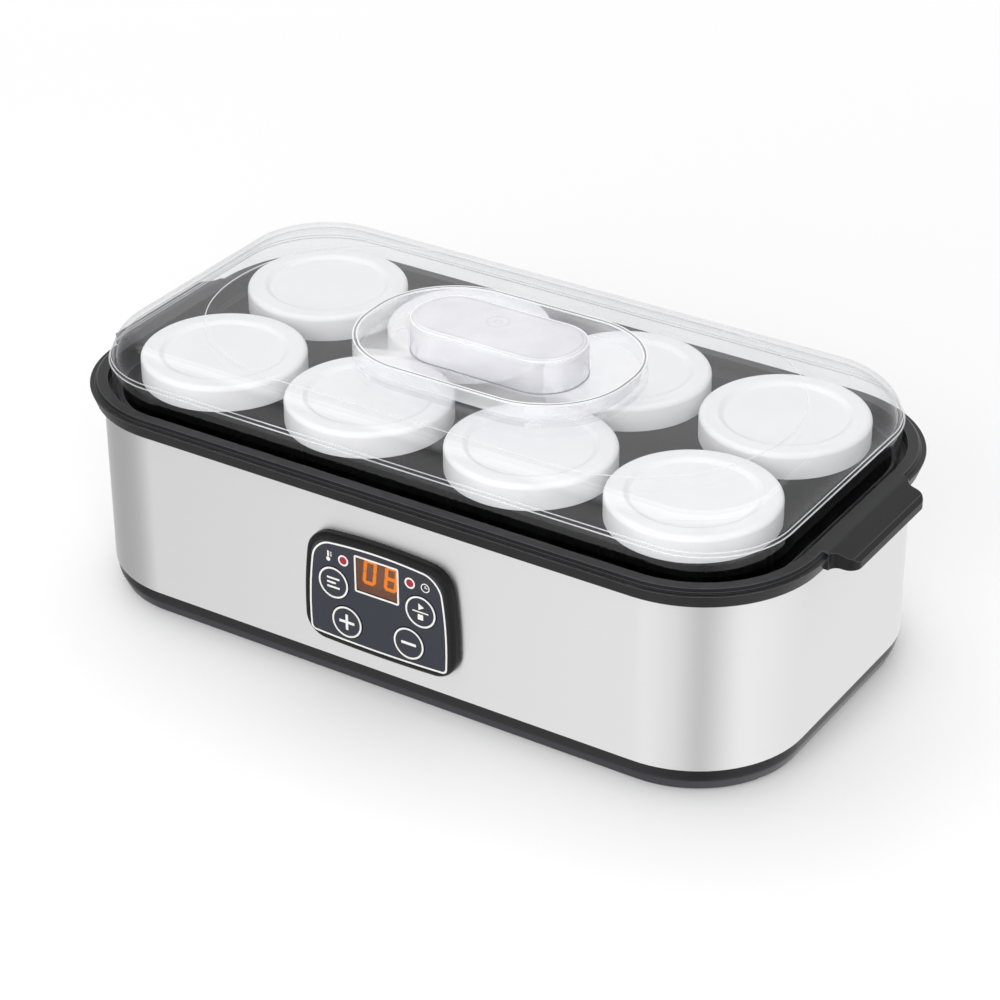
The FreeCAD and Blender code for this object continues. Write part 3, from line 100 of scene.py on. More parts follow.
# a node tree with one method for any node, used for the materials and the world
class Finish:
    def __init__(self, name, fixed=None, world=False):
        self.material = (bpy.data.worlds if world else bpy.data.materials).new(name)
        self.material.use_nodes = True
        self.tree = self.material.node_tree
        self.shader = self.tree.nodes["Background" if world else "Principled BSDF"]
        self.output = self.tree.nodes["World Output" if world else "Material Output"]
        self.feed(self.shader, fixed or {})

    def feed(self, node, sockets):
        for name, item in sockets.items():
            socket = node.inputs[name]
            if isinstance(item, Value):
                self.tree.links.new(item.socket, socket)
            elif isinstance(item, (tuple, list)) and len(item) == 3 and socket.type == "RGBA":
                socket.default_value = (*item, 1.0)
            else:
                socket.default_value = item

    def add(self, kind, settings=None, sockets=None, out=0):
        node = self.tree.nodes.new("ShaderNode" + kind)
        for name, item in (settings or {}).items():
            if name == "stops":
                ramp = node.color_ramp
                while len(ramp.elements) < len(item):
                    ramp.elements.new(0.5)
                for element, (place, colour) in zip(ramp.elements, item):
                    element.position = place
                    element.color = (*colour, 1.0)
            else:
                setattr(node, name, item)
        self.feed(node, sockets or {})
        return Value(self.tree, node.outputs[out])

    def set(self, sockets):
        self.feed(self.shader, sockets)

    def coords(self, stretch=(1, 1, 1)):
        place = self.add("TexCoord", out="Object")
        return self.add("Mapping", {}, {"Vector": place, "Scale": stretch})

    def noise(self, scale, detail=2.0, stretch=(1, 1, 1), roughness=0.5):
        return self.add("TexNoise", {}, {"Vector": self.coords(stretch), "Scale": scale, "Detail": detail,
                                         "Roughness": roughness})

    def mix(self, mask, low, high):
        low = low if isinstance(low, Value) else (*low, 1.0)
        high = high if isinstance(high, Value) else (*high, 1.0)
        return self.add("Mix", {"data_type": "RGBA"}, {0: mask, 6: low, 7: high}, out=2)

    def bump(self, height, strength, distance):
        return self.add("Bump", {}, {"Height": height, "Strength": strength, "Distance": distance})

    def blendShaders(self, mask, first, second):
        both = self.add("MixShader", {}, {0: mask, 1: first, 2: second})
        self.feed(self.output, {"Surface": both})

    def ownShader(self):
        return Value(self.tree, self.shader.outputs[0])


# a colour as a colour picker shows it, 0 to 255
def colour(red, green, blue):
    shares = [level / 255 for level in (red, green, blue)]
    return tuple(c / 12.92 if c <= 0.04 else ((c + 0.055) / 1.055) ** 2.4 for c in shares)


def darker(tone, share):
    return tuple(c * share for c in tone)


def deselect():
    if bpy.context.mode != "OBJECT":
        bpy.ops.object.mode_set(mode="OBJECT")
    bpy.ops.object.select_all(action="DESELECT")


def focus(piece):
    deselect()
    piece.select_set(True)
    bpy.context.view_layer.objects.active = piece
    return piece


def edit(piece):
    focus(piece)
    bpy.ops.object.mode_set(mode="EDIT")


def done():
    bpy.ops.object.mode_set(mode="OBJECT")


# selects the faces, edges or points of a piece in edit mode that pass a test
def pick(piece, kind, test):
    bpy.ops.mesh.select_mode(type=kind)
    bpy.ops.mesh.select_all(action="DESELECT")
    grid = bmesh.from_edit_mesh(piece.data)
    found = 0
    for item in {"FACE": grid.faces, "EDGE": grid.edges, "VERT": grid.verts}[kind]:
        if test(item):
            item.select_set(True)
            found += 1
    bmesh.update_edit_mesh(piece.data)
    if not found:
        raise ValueError("nothing picked on " + piece.name)


def middle(item):
    total = Vector((0, 0, 0))
    for point in item.verts:
        total += point.co
    return total / len(item.verts)


def modify(piece, kind, **settings):
    focus(piece)
    modifier = piece.modifiers.new(kind.lower(), kind)
    for name, item in settings.items():
        setattr(modifier, name, item)
    bpy.ops.object.modifier_apply(modifier=modifier.name)


def settle(piece):
    focus(piece)
    bpy.ops.object.transform_apply(location=True, rotation=True, scale=True)
    return piece


def smooth(piece, angle=30):
    focus(piece)
    bpy.ops.object.shade_smooth_by_angle(angle=math.radians(angle))


def dress(piece, finish, body, slot, *replaced):
    piece.data.materials.clear()
    piece.data.materials.append(finish.material)
    hold(piece, body, slot, *replaced)


def hold(piece, body, slot, *replaced):
    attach(piece, body)
    if replaced:
        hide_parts(*replaced)


def duplicate(piece, name):
    twin = bpy.data.objects.new(name, piece.data.copy())
    scene.collection.objects.link(twin)
    return twin


def camel(name):
    first, *rest = name.split("_")
    return first + "".join(word.capitalize() for word in rest)


# leaves only the outer line of a flat piece
def hollow(piece, line):
    edit(piece)
    bpy.ops.mesh.select_all(action="SELECT")
    bpy.ops.mesh.inset(thickness=line * mm, depth=0)
    bpy.ops.mesh.delete(type="FACE")
    done()


merge = {"within": 2e-6, "flat": 0.4, "weight": 70}       # metres, degrees, normals' weight


# a copy of a node with its triangles merged, its edges softened and its faces shaded smoothly; an edge
# finish, where given, goes on the bevels as a painted highlight
def refine(name, finish, slot, edge=0.0, steps=2, angle=30, edgeHighlightFinish=None, before=None):
    piece = bpy.data.objects.new(camel(name), nodes[name].data.copy())
    scene.collection.objects.link(piece)
    piece.data.materials.clear()
    piece.data.materials.append(finish.material)
    if edgeHighlightFinish:
        piece.data.materials.append(edgeHighlightFinish.material)
    edit(piece)
    bpy.ops.mesh.customdata_custom_splitnormals_clear()
    bpy.ops.mesh.select_all(action="SELECT")
    bpy.ops.mesh.remove_doubles(threshold=merge["within"])
    bpy.ops.mesh.dissolve_limited(angle_limit=math.radians(merge["flat"]))
    done()
    if before:
        before(piece)
    if edge:
        modify(piece, "BEVEL", width=edge * mm, segments=steps, limit_method="ANGLE",
               angle_limit=math.radians(angle), material=1 if edgeHighlightFinish else -1, use_clamp_overlap=True)
    smooth(piece, angle)
    modify(piece, "WEIGHTED_NORMAL", keep_sharp=True, weight=merge["weight"])
    hold(piece, nodes[name]["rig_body"], slot, name)
    return piece


# the photograph's viewing angle
lens = {"azimuth": 32.751, "elevation": 30.126, "distance": 1.32941, "roll": -0.35,
        "target": (-0.034883, 0.054264, 0.012), "length": 110.608, "sensor": 36.0}


def addCamera():
    turn, tilt, roll = (math.radians(lens[key]) for key in ("azimuth", "elevation", "roll"))
    back = Vector((math.sin(turn) * math.cos(tilt), -math.cos(turn) * math.cos(tilt), math.sin(tilt)))
    right = Vector((math.cos(turn), math.sin(turn), 0))
    up = back.cross(right)
    rolledRight = right * math.cos(roll) + up * math.sin(roll)
    rolledUp = up * math.cos(roll) - right * math.sin(roll)
    data = bpy.data.cameras.new("camera")
    data.lens, data.sensor_width, data.sensor_fit = lens["length"], lens["sensor"], "HORIZONTAL"
    data.clip_end = 50
    camera = bpy.data.objects.new("camera", data)
    place = Matrix((rolledRight, rolledUp, back)).transposed().to_4x4()
    place.translation = Vector(lens["target"]) + back * lens["distance"]
    camera.matrix_world = place
    scene.collection.objects.link(camera)
    scene.camera = camera


addCamera()
print("camera placed")


# a pale floor, two soft lamps and a ring of reflectors
studio = {"floorSize": 8.0, "floorGlow": 0.15, "shadowReach": (0.25, 0.8), "metalLight": 1.07, "ambient": 0.6,
          "overhead": {"place": (-0.5, 0.45, 1.4), "size": (1.6, 1.4), "power": 7.5, "shine": True},
          "fill": {"place": (0.45, -1.4, 0.75), "size": (1.8, 1.0), "power": 18.0, "shine": False},
          # the reflectors round the object: turn from the front in degrees, brightness
          "round": [(-180, 0.85), (-147, 0.85), (-98, 0.42), (-60, 0.46), (-27, 1.0), (12, 0.82), (35, 0.55),
                    (72, 1.0), (126, 0.9), (180, 0.85)]}


# the ring of brightness, from the turn of a direction about Z
def studioTone(tree, across, along):
    turn = tree.add("Math", {"operation": "ARCTAN2"}, {0: across, 1: along * -1.0})
    stops = [((angle + 180) / 360, (level * studio["metalLight"],) * 3) for angle, level in studio["round"]]
    return tree.add("ValToRGB", {"stops": stops}, {0: turn / (2 * math.pi) + 0.5})


def lightPath(tree, name):
    return tree.add("LightPath", out=name)


def addFloor():
    deselect()
    bpy.ops.mesh.primitive_plane_add(size=studio["floorSize"], location=(0, 0, -0.1 * mm))
    floor = settle(bpy.context.object)
    floor.name = "floor"
    paint = Finish("paleFloor", {"Base Color": (1.0, 1.0, 1.0), "Roughness": 0.5, "Specular IOR Level": 0.25})
    near, far = studio["shadowReach"]
    place = paint.add("TexCoord", out="Object")
    away = paint.add("VectorMath", {"operation": "LENGTH"}, {0: place}, out="Value")
    fade = paint.add("MapRange", {}, {"Value": away, "From Min": near, "From Max": far,
                                      "To Min": studio["floorGlow"], "To Max": 1.0})
    glow = paint.add("Emission", {}, {"Color": (1.0, 1.0, 1.0), "Strength": 1.0})
    seen = lightPath(paint, "Is Camera Ray") + lightPath(paint, "Is Transmission Ray")
    paint.blendShaders(seen * fade, paint.ownShader(), glow)
    floor.visible_glossy = False       # the metal shows the studio all round instead
    floor.data.materials.append(paint.material)


def addWorld():
    sky = Finish("studioWorld", world=True)
    scene.world = sky.material
    sky.material.cycles.sampling_method = "NONE"
    direction = sky.add("TexCoord", out="Generated")
    split = {name: sky.add("SeparateXYZ", {}, {0: direction}, out=name) for name in "XY"}
    glossy = lightPath(sky, "Is Glossy Ray")
    seen = lightPath(sky, "Is Camera Ray") + lightPath(sky, "Is Transmission Ray")
    around = studioTone(sky, split["X"], split["Y"])
    plain = sky.mix(seen, (studio["ambient"],) * 3, (1.0, 1.0, 1.0))
    sky.set({"Color": sky.mix(glossy, plain, around), "Strength": 1.0})


def addLamp(name, settings):
    data = bpy.data.lights.new(name, "AREA")
    data.shape = "RECTANGLE"
    data.size, data.size_y = settings["size"]
    data.energy = settings["power"]
    lamp = bpy.data.objects.new(name, data)
    lamp.location = settings["place"]
    lamp.rotation_euler = Vector(settings["place"]).to_track_quat("Z", "Y").to_euler()
    lamp.visible_camera = False
    lamp.visible_glossy = settings["shine"]
    scene.collection.objects.link(lamp)


addFloor()
addWorld()
addLamp("overheadLamp", studio["overhead"])
addLamp("fillLamp", studio["fill"])
print("studio ready")


# moulded plastic: fine grain, a little cloud, and flecks where the grain shows
def mouldedPlastic(name, tone, roughness, grain=1800, depth=0.02, coat=0.0, shine=0.5, fleck=0.0):
    finish = Finish(name, {"Coat Weight": coat, "Coat Roughness": 0.1, "Specular IOR Level": shine})
    cloud = finish.noise(60, 3)
    speck = finish.noise(grain, 2)
    grainy = cloud * (1 - fleck) + (speck - 0.5) * (3 * fleck)
    finish.set({"Base Color": finish.mix(grainy, darker(tone, 0.92 - fleck), tone),
                "Roughness": cloud * 0.06 + speck * 0.06 + (roughness - 0.06),
                "Normal": finish.bump(speck, 0.35, depth * mm)})
    return finish


def plainMetal(name, tone, roughness, stretch=(1, 1, 1), streak=900):
    finish = Finish(name, {"Metallic": 1.0})
    line = finish.noise(streak, 3, stretch)
    finish.set({"Base Color": finish.mix(line, darker(tone, 0.93), tone),
                "Roughness": line * 0.12 + (roughness - 0.06),
                "Normal": finish.bump(line, 0.12, 0.02 * mm)})
    return finish


def brushedSteel():
    finish = Finish("brushedSteel", {"Metallic": 1.0, "Anisotropic": 0.82, "Anisotropic Rotation": 0.25})
    fine = finish.noise(1.0, 2, (14, 14, 5200))
    broad = finish.noise(1.0, 2, (5, 5, 900))
    tone = colour(238, 238, 238)
    streak = fine * 0.7 + broad * 0.3
    finish.set({"Base Color": finish.mix(streak, darker(tone, 0.95), tone),
                "Roughness": streak * 0.08 + 0.33,
                "Normal": finish.bump(fine, 0.08, 0.01 * mm)})
    return finish


# gloss by the angle of view, the same from both sides of a wall
def glossByAngle(finish, straight):
    facing = finish.add("LayerWeight", {}, {"Blend": 0.5}, out="Facing")
    return facing ** 5.0 * (1 - straight) + straight


# clear sheet: what is behind shows, with gloss by angle and a little haze
def clearSheet(name, tint, haze, roughness, gloss=1.0, mirror=1.0, surface=(0.95, 0.95, 0.96), fade=None):
    finish = Finish(name, {"Base Color": surface, "Specular IOR Level": 0.5, "Metallic": mirror})
    through = finish.add("BsdfTransparent", {}, {"Color": tint})
    cloud = finish.noise(25, 2)
    finish.set({"Roughness": cloud * 0.02 + roughness})
    if fade:                                        # less haze low down
        low, high, least = fade
        height = finish.add("SeparateXYZ", {}, {0: finish.add("TexCoord", out="Object")}, out="Z")
        cloud = cloud * finish.add("MapRange", {}, {"Value": height, "From Min": low * mm,
                                                    "From Max": high * mm, "To Min": least, "To Max": 1.0})
    lamps = lightPath(finish, "Is Shadow Ray")      # lamps shine through
    finish.blendShaders((glossByAngle(finish, 0.04) * gloss + cloud * haze) * (1 - lamps), through,
                        finish.ownShader())
    return finish


def smokedSheet():
    finish = Finish("smokedSheet", {"Base Color": colour(120, 100, 92), "Roughness": 0.08})
    through = finish.add("BsdfTransparent", {}, {"Color": colour(238, 228, 222)})
    cloud = finish.noise(40, 2)
    finish.set({"Roughness": cloud * 0.04 + 0.06})
    lamps = lightPath(finish, "Is Shadow Ray")
    finish.blendShaders((glossByAngle(finish, 0.04) * 0.6 + cloud * 0.05) * (1 - lamps), through,
                        finish.ownShader())
    return finish


def circuitBoard():
    finish = Finish("circuitBoard", {"Specular IOR Level": 0.5, "Roughness": 0.35})
    track = finish.add("TexBrick", {"offset": 0.5}, {"Vector": finish.coords(), "Scale": 420.0,
                                                     "Mortar Size": 0.012}, out="Fac")
    cloud = finish.noise(90, 2)
    mask = finish.mix(cloud, (0.012, 0.12, 0.045), (0.02, 0.17, 0.06))
    finish.set({"Base Color": finish.mix(track, mask, (0.05, 0.26, 0.1)), "Roughness": cloud * 0.1 + 0.3})
    return finish


def glowing(name, tone, strength):
    finish = Finish(name, {"Base Color": darker(tone, 0.6), "Emission Strength": strength, "Roughness": 0.35})
    cloud = finish.noise(700, 1)
    finish.set({"Emission Color": finish.mix(cloud, darker(tone, 0.9), tone)})
    return finish


finishes = {
    "clear_plastic": clearSheet("clearLid", (0.982, 0.983, 0.988), 0.012, 0.04),
    "satin_black_plastic": mouldedPlastic("satinBlack", (0.013, 0.013, 0.0142), 0.34, 1500, 0.05, 0.0,
                                          0.22, 0.5),
    "brushed_steel": brushedSteel(),
    "gloss_black_plastic": mouldedPlastic("glossBlack", (0.008, 0.008, 0.009), 0.22, 1200, 0.004, 0.0, 0.3),
    "rubber": mouldedPlastic("rubberFoot", (0.02, 0.02, 0.02), 0.75, 900, 0.05),
    "slate_overlay": mouldedPlastic("slateFilm", colour(46, 48, 58), 0.42, 3000, 0.008, 0.0, 0.3),
    "smoked_window": smokedSheet(),
    # the display's face glows though it is no lamp: a painted glow for the light of the figures and the light
    # through the smoked window
    "display_case": glowing("displayCase", colour(132, 106, 94), 0.6),
    "lamp_lens": glowing("redLens", colour(172, 16, 48), 0.15),
    "switch_plastic": mouldedPlastic("switchPlastic", (0.03, 0.03, 0.03), 0.5),
    "circuit_board": circuitBoard(),
    "zinc_screws": plainMetal("zincScrews", (0.62, 0.62, 0.6), 0.3),
    "aluminium_plate": plainMetal("aluminiumPlate", (0.78, 0.78, 0.79), 0.38, (1, 40, 1), 40),
    "silicone_heater": mouldedPlastic("siliconeHeater", (0.5, 0.1, 0.06), 0.6, 700, 0.08),
    "bright_sheet": plainMetal("brightSheet", (0.7, 0.7, 0.7), 0.32, (1, 30, 1), 50),
    "sensor_capsule": mouldedPlastic("sensorCapsule", (0.7, 0.68, 0.6), 0.3, 900, 0.01, 0.3),
    "relay_case": mouldedPlastic("relayCase", (0.03, 0.08, 0.25), 0.35),
    "film_case": mouldedPlastic("filmCase", (0.55, 0.42, 0.04), 0.35),
    "can_sleeve": mouldedPlastic("canSleeve", (0.02, 0.02, 0.03), 0.3),
    "terminal_plastic": mouldedPlastic("terminalPlastic", (0.05, 0.3, 0.1), 0.45),
    "jar_glass": clearSheet("jarGlass", (0.93, 0.955, 0.95), 0.03, 0.02),
    "white_plastic": mouldedPlastic("whiteLid", colour(248, 248, 248), 0.38, 1400, 0.008),
}
whitePrint = mouldedPlastic("whitePrint", colour(228, 226, 220), 0.45, 2600, 0.01)
# the lid's bevels: hazier and glossier than the lid, a painted highlight along its edges
lidEdge = clearSheet("lidEdge", (0.97, 0.97, 0.98), 0.15, 0.15, 1.2, 0.5)
# finishes for thin strips on the lid: the two white ones are painted highlight lines, the grey one is a
# painted shade line
lidLine = clearSheet("lidLine", (0.97, 0.97, 0.98), 1.6, 0.3, 1.0, 0.3)
lidSoft = clearSheet("lidSoft", (0.97, 0.97, 0.98), 0.75, 0.3, 1.0, 0.3)
lidShade = clearSheet("lidShade", (0.7, 0.7, 0.73), 0.9, 0.3, 0.5, 0.1, (0.4, 0.4, 0.43))
gripClear = clearSheet("gripClear", (0.95, 0.95, 0.97), 1.2, 0.3, 1.0, 0.15, (0.83, 0.83, 0.855),
                       (113.5, 124.0, 0.45))
# the rim's edge finish: a lighter, glossier black on the bevels of the rim and handles, a painted highlight
# along their edges
rimPaintedHighlight = mouldedPlastic("rimPaintedHighlight", (0.045, 0.045, 0.048), 0.3, 1500, 0.03, 0.0, 0.4, 0.3)
wellClear = clearSheet("wellClear", (0.97, 0.97, 0.98), 0.7, 0.2, 1.0, 0.2)
# lighter, bluish black for the base's lower lip: a painted reflection of the pale floor
lipPaintedReflection = mouldedPlastic("lipPaintedReflection", colour(38, 38, 48), 0.4, 1500, 0.04, 0.0, 0.4, 0.4)
orangeDigit = glowing("orangeDigit", colour(244, 150, 36), 1.0)
print("finishes made,", len(finishes) + 10)


# each outer node: its finish, how far its edges are softened in millimetres, and in how many steps
outerNodes = {
    "upper_housing": ("satin_black_plastic", 0.45, 2), "steel_sleeve": ("brushed_steel", 0.0, 1),
    "base_pan": ("gloss_black_plastic", 0.4, 2), "rubber_feet": ("rubber", 0.4, 2),
    "control_bezel": ("satin_black_plastic", 0.1, 2), "control_overlay": ("slate_overlay", 0.1, 1),
    "cord_gland": ("satin_black_plastic", 0.3, 2), "key_set": ("slate_overlay", 0.25, 3),
    "key_start": ("slate_overlay", 0.25, 3), "key_plus": ("slate_overlay", 0.25, 3),
    "key_minus": ("slate_overlay", 0.25, 3), "indicator_lamps": ("lamp_lens", 0.2, 2),
    "display_window": ("smoked_window", 0.1, 1)}
jarSoft = (0.3, 2)

# the foot of the base: an upright band, then a lip that leans in to the table, whose faces take a lighter
# bluish black, a painted reflection of the pale floor
foot = {"half": (159.2, 83.45), "corner": 46.4, "band": 7.1, "low": 1.85, "lean": 2.4,
        "above": 2.0, "nearTable": 2.5, "reach": 4.2, "tableReach": 7.0, "lipAbove": 0.6}


def baseLip(piece):
    centre = Vector((foot["half"][0] - foot["corner"], foot["half"][1] - foot["corner"]))
    drop = foot["band"] - foot["low"]
    moved = {}
    for point in piece.data.vertices:
        x, y, z = (c / mm for c in point.co)
        away = Vector((max(abs(x) - centre.x, 0), max(abs(y) - centre.y, 0)))
        inset = foot["corner"] - away.length
        reach = foot["reach"] if z > foot["nearTable"] else foot["tableReach"]
        if foot["low"] < z < foot["band"] + foot["above"] and inset < reach and away.length:
            step = away.normalized() * (inset - foot["lean"] * max(foot["band"] - z, 0) / drop)
            point.co.x = math.copysign(abs(x) + step.x, x) * mm
            point.co.y = math.copysign(abs(y) + step.y, y) * mm
            moved[point.index] = z
    # the lip's faces: a lighter bluish black, a painted reflection of the floor
    piece.data.materials.append(lipPaintedReflection.material)
    lipTop = foot["band"] + foot["lipAbove"]
    for face in piece.data.polygons:
        if all(moved.get(index, lipTop) < lipTop for index in face.vertices):
            face.material_index = 1


hooks = {"base_pan": baseLip}
# the upper housing's bevels take the painted highlight finish
paintedHighlightEdges = {"upper_housing": rimPaintedHighlight}
for name, (slot, edge, steps) in outerNodes.items():
    refine(name, finishes[slot], slot, edge, steps, edgeHighlightFinish=paintedHighlightEdges.get(name), before=hooks.get(name))
for number in range(1, 9):
    refine(f"jar_{number}", finishes["jar_glass"], "jar_glass", *jarSoft)
print("housings softened")


# the clear lid, in millimetres
lidLook = {"edge": 0.4, "steps": 2, "angle": 25, "gripHalf": (39.5, 19.0), "gripFloor": 112.0,
           "ringHalf": (59.6, 39.0), "wellLow": 111.0, "mark": (-2.6, 3.4),
           "markRings": ((4.9, 4.3), (1.9, 1.5)), "markDepth": 0.2}


# the moulding mark on the grip, cut by a ring
def cutMark(piece, outer, inner):
    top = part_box("lid")[1].z
    deselect()
    bpy.ops.mesh.primitive_cylinder_add(vertices=64, radius=outer * mm, depth=4 * lidLook["markDepth"] * mm,
                                        location=(lidLook["mark"][0] * mm, lidLook["mark"][1] * mm,
                                                  top + lidLook["markDepth"] * mm))
    cutter = settle(bpy.context.object)
    edit(cutter)
    pick(cutter, "FACE", lambda face: abs(face.normal.z) > 0.9)
    bpy.ops.mesh.inset(thickness=(outer - inner) * mm, depth=0)
    bpy.ops.mesh.bridge_edge_loops()
    done()
    modify(piece, "BOOLEAN", object=cutter, operation="DIFFERENCE", solver="EXACT")
    bpy.data.objects.remove(cutter)


# the well and the grip are hazier than the rest
def frostGrip(piece):
    for ring in lidLook["markRings"]:
        cutMark(piece, *ring)
    piece.data.materials.append(gripClear.material)
    piece.data.materials.append(wellClear.material)
    edit(piece)
    for index, half, floor in ((3, lidLook["ringHalf"], lidLook["wellLow"]),
                               (2, lidLook["gripHalf"], lidLook["gripFloor"])):
        pick(piece, "FACE", lambda face: all(abs(point.co.x) < half[0] * mm and abs(point.co.y) < half[1] * mm
                                             and point.co.z > floor * mm for point in face.verts))
        piece.active_material_index = index
        bpy.ops.object.material_slot_assign()
    done()


refine("lid", finishes["clear_plastic"], "clear_plastic", lidLook["edge"], lidLook["steps"], lidLook["angle"],
       lidEdge, frostGrip)

# painted highlight and painted shade lines along the lid's edges: length, width and corner of each outline,
# and on it each line's top, inset, width, depth and finish
lidOutlines = {"ring": (122.0, 80.4, 37.2), "grip": (77.0, 36.2, 17.1), "oval": (259.1, 131.4, 64.7),
               "wall": (309.1, 160.4, 38.0)}
lidPaintedLines = {"ringOuter": ("ring", 121.25, 0.2, 0.5, 0.5, lidLine),
            "ringInner": ("ring", 121.25, 1.75, 0.5, 0.5, lidLine),
            "ringHollow": ("ring", 121.22, 0.95, 0.5, 0.1, lidShade),
            "gripEdge": ("grip", 128.0, 0.25, 0.5, 0.5, lidLine),
            "gripTurn": ("grip", 128.58, 2.4, 0.4, 0.2, lidShade),
            "gripFoot": ("grip", 114.3, -0.2, 0.5, 0.3, lidShade),
            "ovalEdge": ("oval", 117.12, 0.05, 0.35, 0.2, lidSoft),
            "creaseFoot": ("wall", 103.95, 0.05, 0.5, 0.3, lidSoft),
            "creaseTop": ("wall", 105.4, 0.75, 0.4, 0.25, lidSoft)}


# a thin strip laid on the lid, finished as a painted highlight or painted shade line
def lidHoop(name, outline, top, inset, line, depth, finish):
    length, width, corner = lidOutlines[outline]
    deselect()
    bpy.ops.mesh.primitive_plane_add(size=1, location=(0, 0, (top - depth) * mm))
    piece = bpy.context.object
    piece.name = name
    piece.scale = ((length - 2 * inset) * mm, (width - 2 * inset) * mm, 1)
    settle(piece)
    edit(piece)
    bpy.ops.mesh.select_all(action="SELECT")
    bpy.ops.mesh.bevel(offset=(corner - inset) * mm, segments=32, affect="VERTICES")
    done()
    hollow(piece, line)
    modify(piece, "SOLIDIFY", thickness=depth * mm, offset=1.0)
    smooth(piece, 40)
    dress(piece, finish, "lid", "clear_plastic")


for name, look in lidPaintedLines.items():
    lidHoop(name, *look)
print("lid ready")


# a jar lid: rounded rim, flat border, shallow dish, hollow below
cap = {"rim": 2.2, "border": 5.4, "slope": 1.9, "dish": 1.3, "wall": 1.6, "roof": 2.0, "lip": 0.4,
       "sides": 96, "soft": 0.6}
low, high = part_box("jar_lid_1")
cap.update(radius=(high.x - low.x) / 2 / mm, bottom=low.z / mm, top=high.z / mm)


def capModel():
    height = cap["top"] - cap["bottom"]
    deselect()
    bpy.ops.mesh.primitive_cylinder_add(vertices=cap["sides"], radius=cap["radius"] * mm, depth=height * mm,
                                        location=(0, 0, (cap["top"] - height / 2) * mm), end_fill_type="NGON")
    piece = settle(bpy.context.object)
    piece.name = "capModel"
    top = cap["top"] * mm
    edit(piece)
    pick(piece, "EDGE", lambda edge: all(abs(point.co.z - top) < 1e-6 for point in edge.verts))
    bpy.ops.mesh.bevel(offset=cap["rim"] * mm, segments=6, profile=0.5, affect="EDGES")
    pick(piece, "FACE", lambda face: face.normal.z > 0.99 and len(face.verts) > 8)
    bpy.ops.mesh.inset(thickness=cap["border"] * mm, depth=0)
    bpy.ops.mesh.inset(thickness=cap["slope"] * mm, depth=-cap["dish"] * mm)
    border = (cap["radius"] - cap["rim"] - cap["border"]) * mm
    inner = border - cap["slope"] * mm
    for ring in (border, inner):
        pick(piece, "EDGE", lambda edge: edge.verts[0].co.z > top - 2 * mm
             and all(abs(point.co.xy.length - ring) < 1e-5 for point in edge.verts))
        bpy.ops.mesh.bevel(offset=cap["soft"] * mm, segments=4, profile=0.5, affect="EDGES")
    pick(piece, "FACE", lambda face: face.normal.z < -0.99 and len(face.verts) > 8)
    bpy.ops.mesh.inset(thickness=cap["wall"] * mm, depth=0)
    bpy.ops.mesh.extrude_region_move(TRANSFORM_OT_translate={
        "value": (0, 0, (height - cap["roof"]) * mm)})
    pick(piece, "EDGE", lambda edge: all(abs(point.co.z - cap["bottom"] * mm) < 1e-6 for point in edge.verts))
    bpy.ops.mesh.bevel(offset=cap["lip"] * mm, segments=2, profile=0.5, affect="EDGES")
    done()
    return piece


model = capModel()
for number in range(1, 9):
    name = f"jar_lid_{number}"
    low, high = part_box(name)
    twin = duplicate(model, camel(name))
    twin.location = ((low.x + high.x) / 2, (low.y + high.y) / 2, 0)
    settle(twin)
    smooth(twin, 30)
    modify(twin, "WEIGHTED_NORMAL", keep_sharp=True, weight=merge["weight"])
    dress(twin, finishes["white_plastic"], name, "white_plastic", name)
bpy.data.objects.remove(model)
print("jar lids made")


# the printed lines of the control panel
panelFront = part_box("control_overlay")[0].y
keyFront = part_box("key_set")[0].y
sleeveFoot = 12.0        # the panel's heights below are measured from here
panel = {"ink": 0.05, "screenInk": 0.08,
         "frame": {"half": 32.35, "low": 11.75, "high": 56.65, "line": 0.76, "upper": 7.9, "lower": 2.2,
                   "sideRound": 182.0, "topRound": 240.0, "bottomRound": 600.0, "widest": 23.0,
                   "split": 31.75},
         "screen": {"half": 10.4, "low": 36.8, "high": 53.4, "line": 0.78, "corner": 0.9},
         "lamp": {"column": 15.6, "height": 48.9, "outer": 2.4, "line": 0.7},
         "key": {"flange": 0.95, "line": 0.78}}


def plate(name, width, height, x, z, corner=0.0, y=panelFront, steps=4):
    deselect()
    bpy.ops.mesh.primitive_plane_add(size=1, location=(x * mm, y, (z + sleeveFoot) * mm),
                                     rotation=(math.pi / 2, 0, 0))
    piece = bpy.context.object
    piece.name = name
    piece.scale = (width * mm, height * mm, 1)
    settle(piece)
    if corner:
        edit(piece)
        bpy.ops.mesh.select_all(action="SELECT")
        bpy.ops.mesh.bevel(offset=corner * mm, segments=steps, affect="VERTICES")
        done()
    return piece


def disc(name, radius, x, z, y=panelFront, sides=64):
    deselect()
    bpy.ops.mesh.primitive_circle_add(vertices=sides, radius=radius * mm, fill_type="NGON",
                                      location=(x * mm, y, (z + sleeveFoot) * mm),
                                      rotation=(math.pi / 2, 0, 0))
    piece = settle(bpy.context.object)
    piece.name = name
    return piece


def inked(piece, body, finish=whitePrint, slot="slate_overlay", depth=None):
    modify(piece, "SOLIDIFY", thickness=(depth or panel["ink"]) * mm, offset=1.0)
    smooth(piece, 30)
    dress(piece, finish, body, slot)
    return piece


def gather(name, *pieces):
    focus(pieces[0])
    for piece in pieces:
        piece.select_set(True)
    bpy.ops.object.join()
    pieces[0].name = name
    return pieces[0]


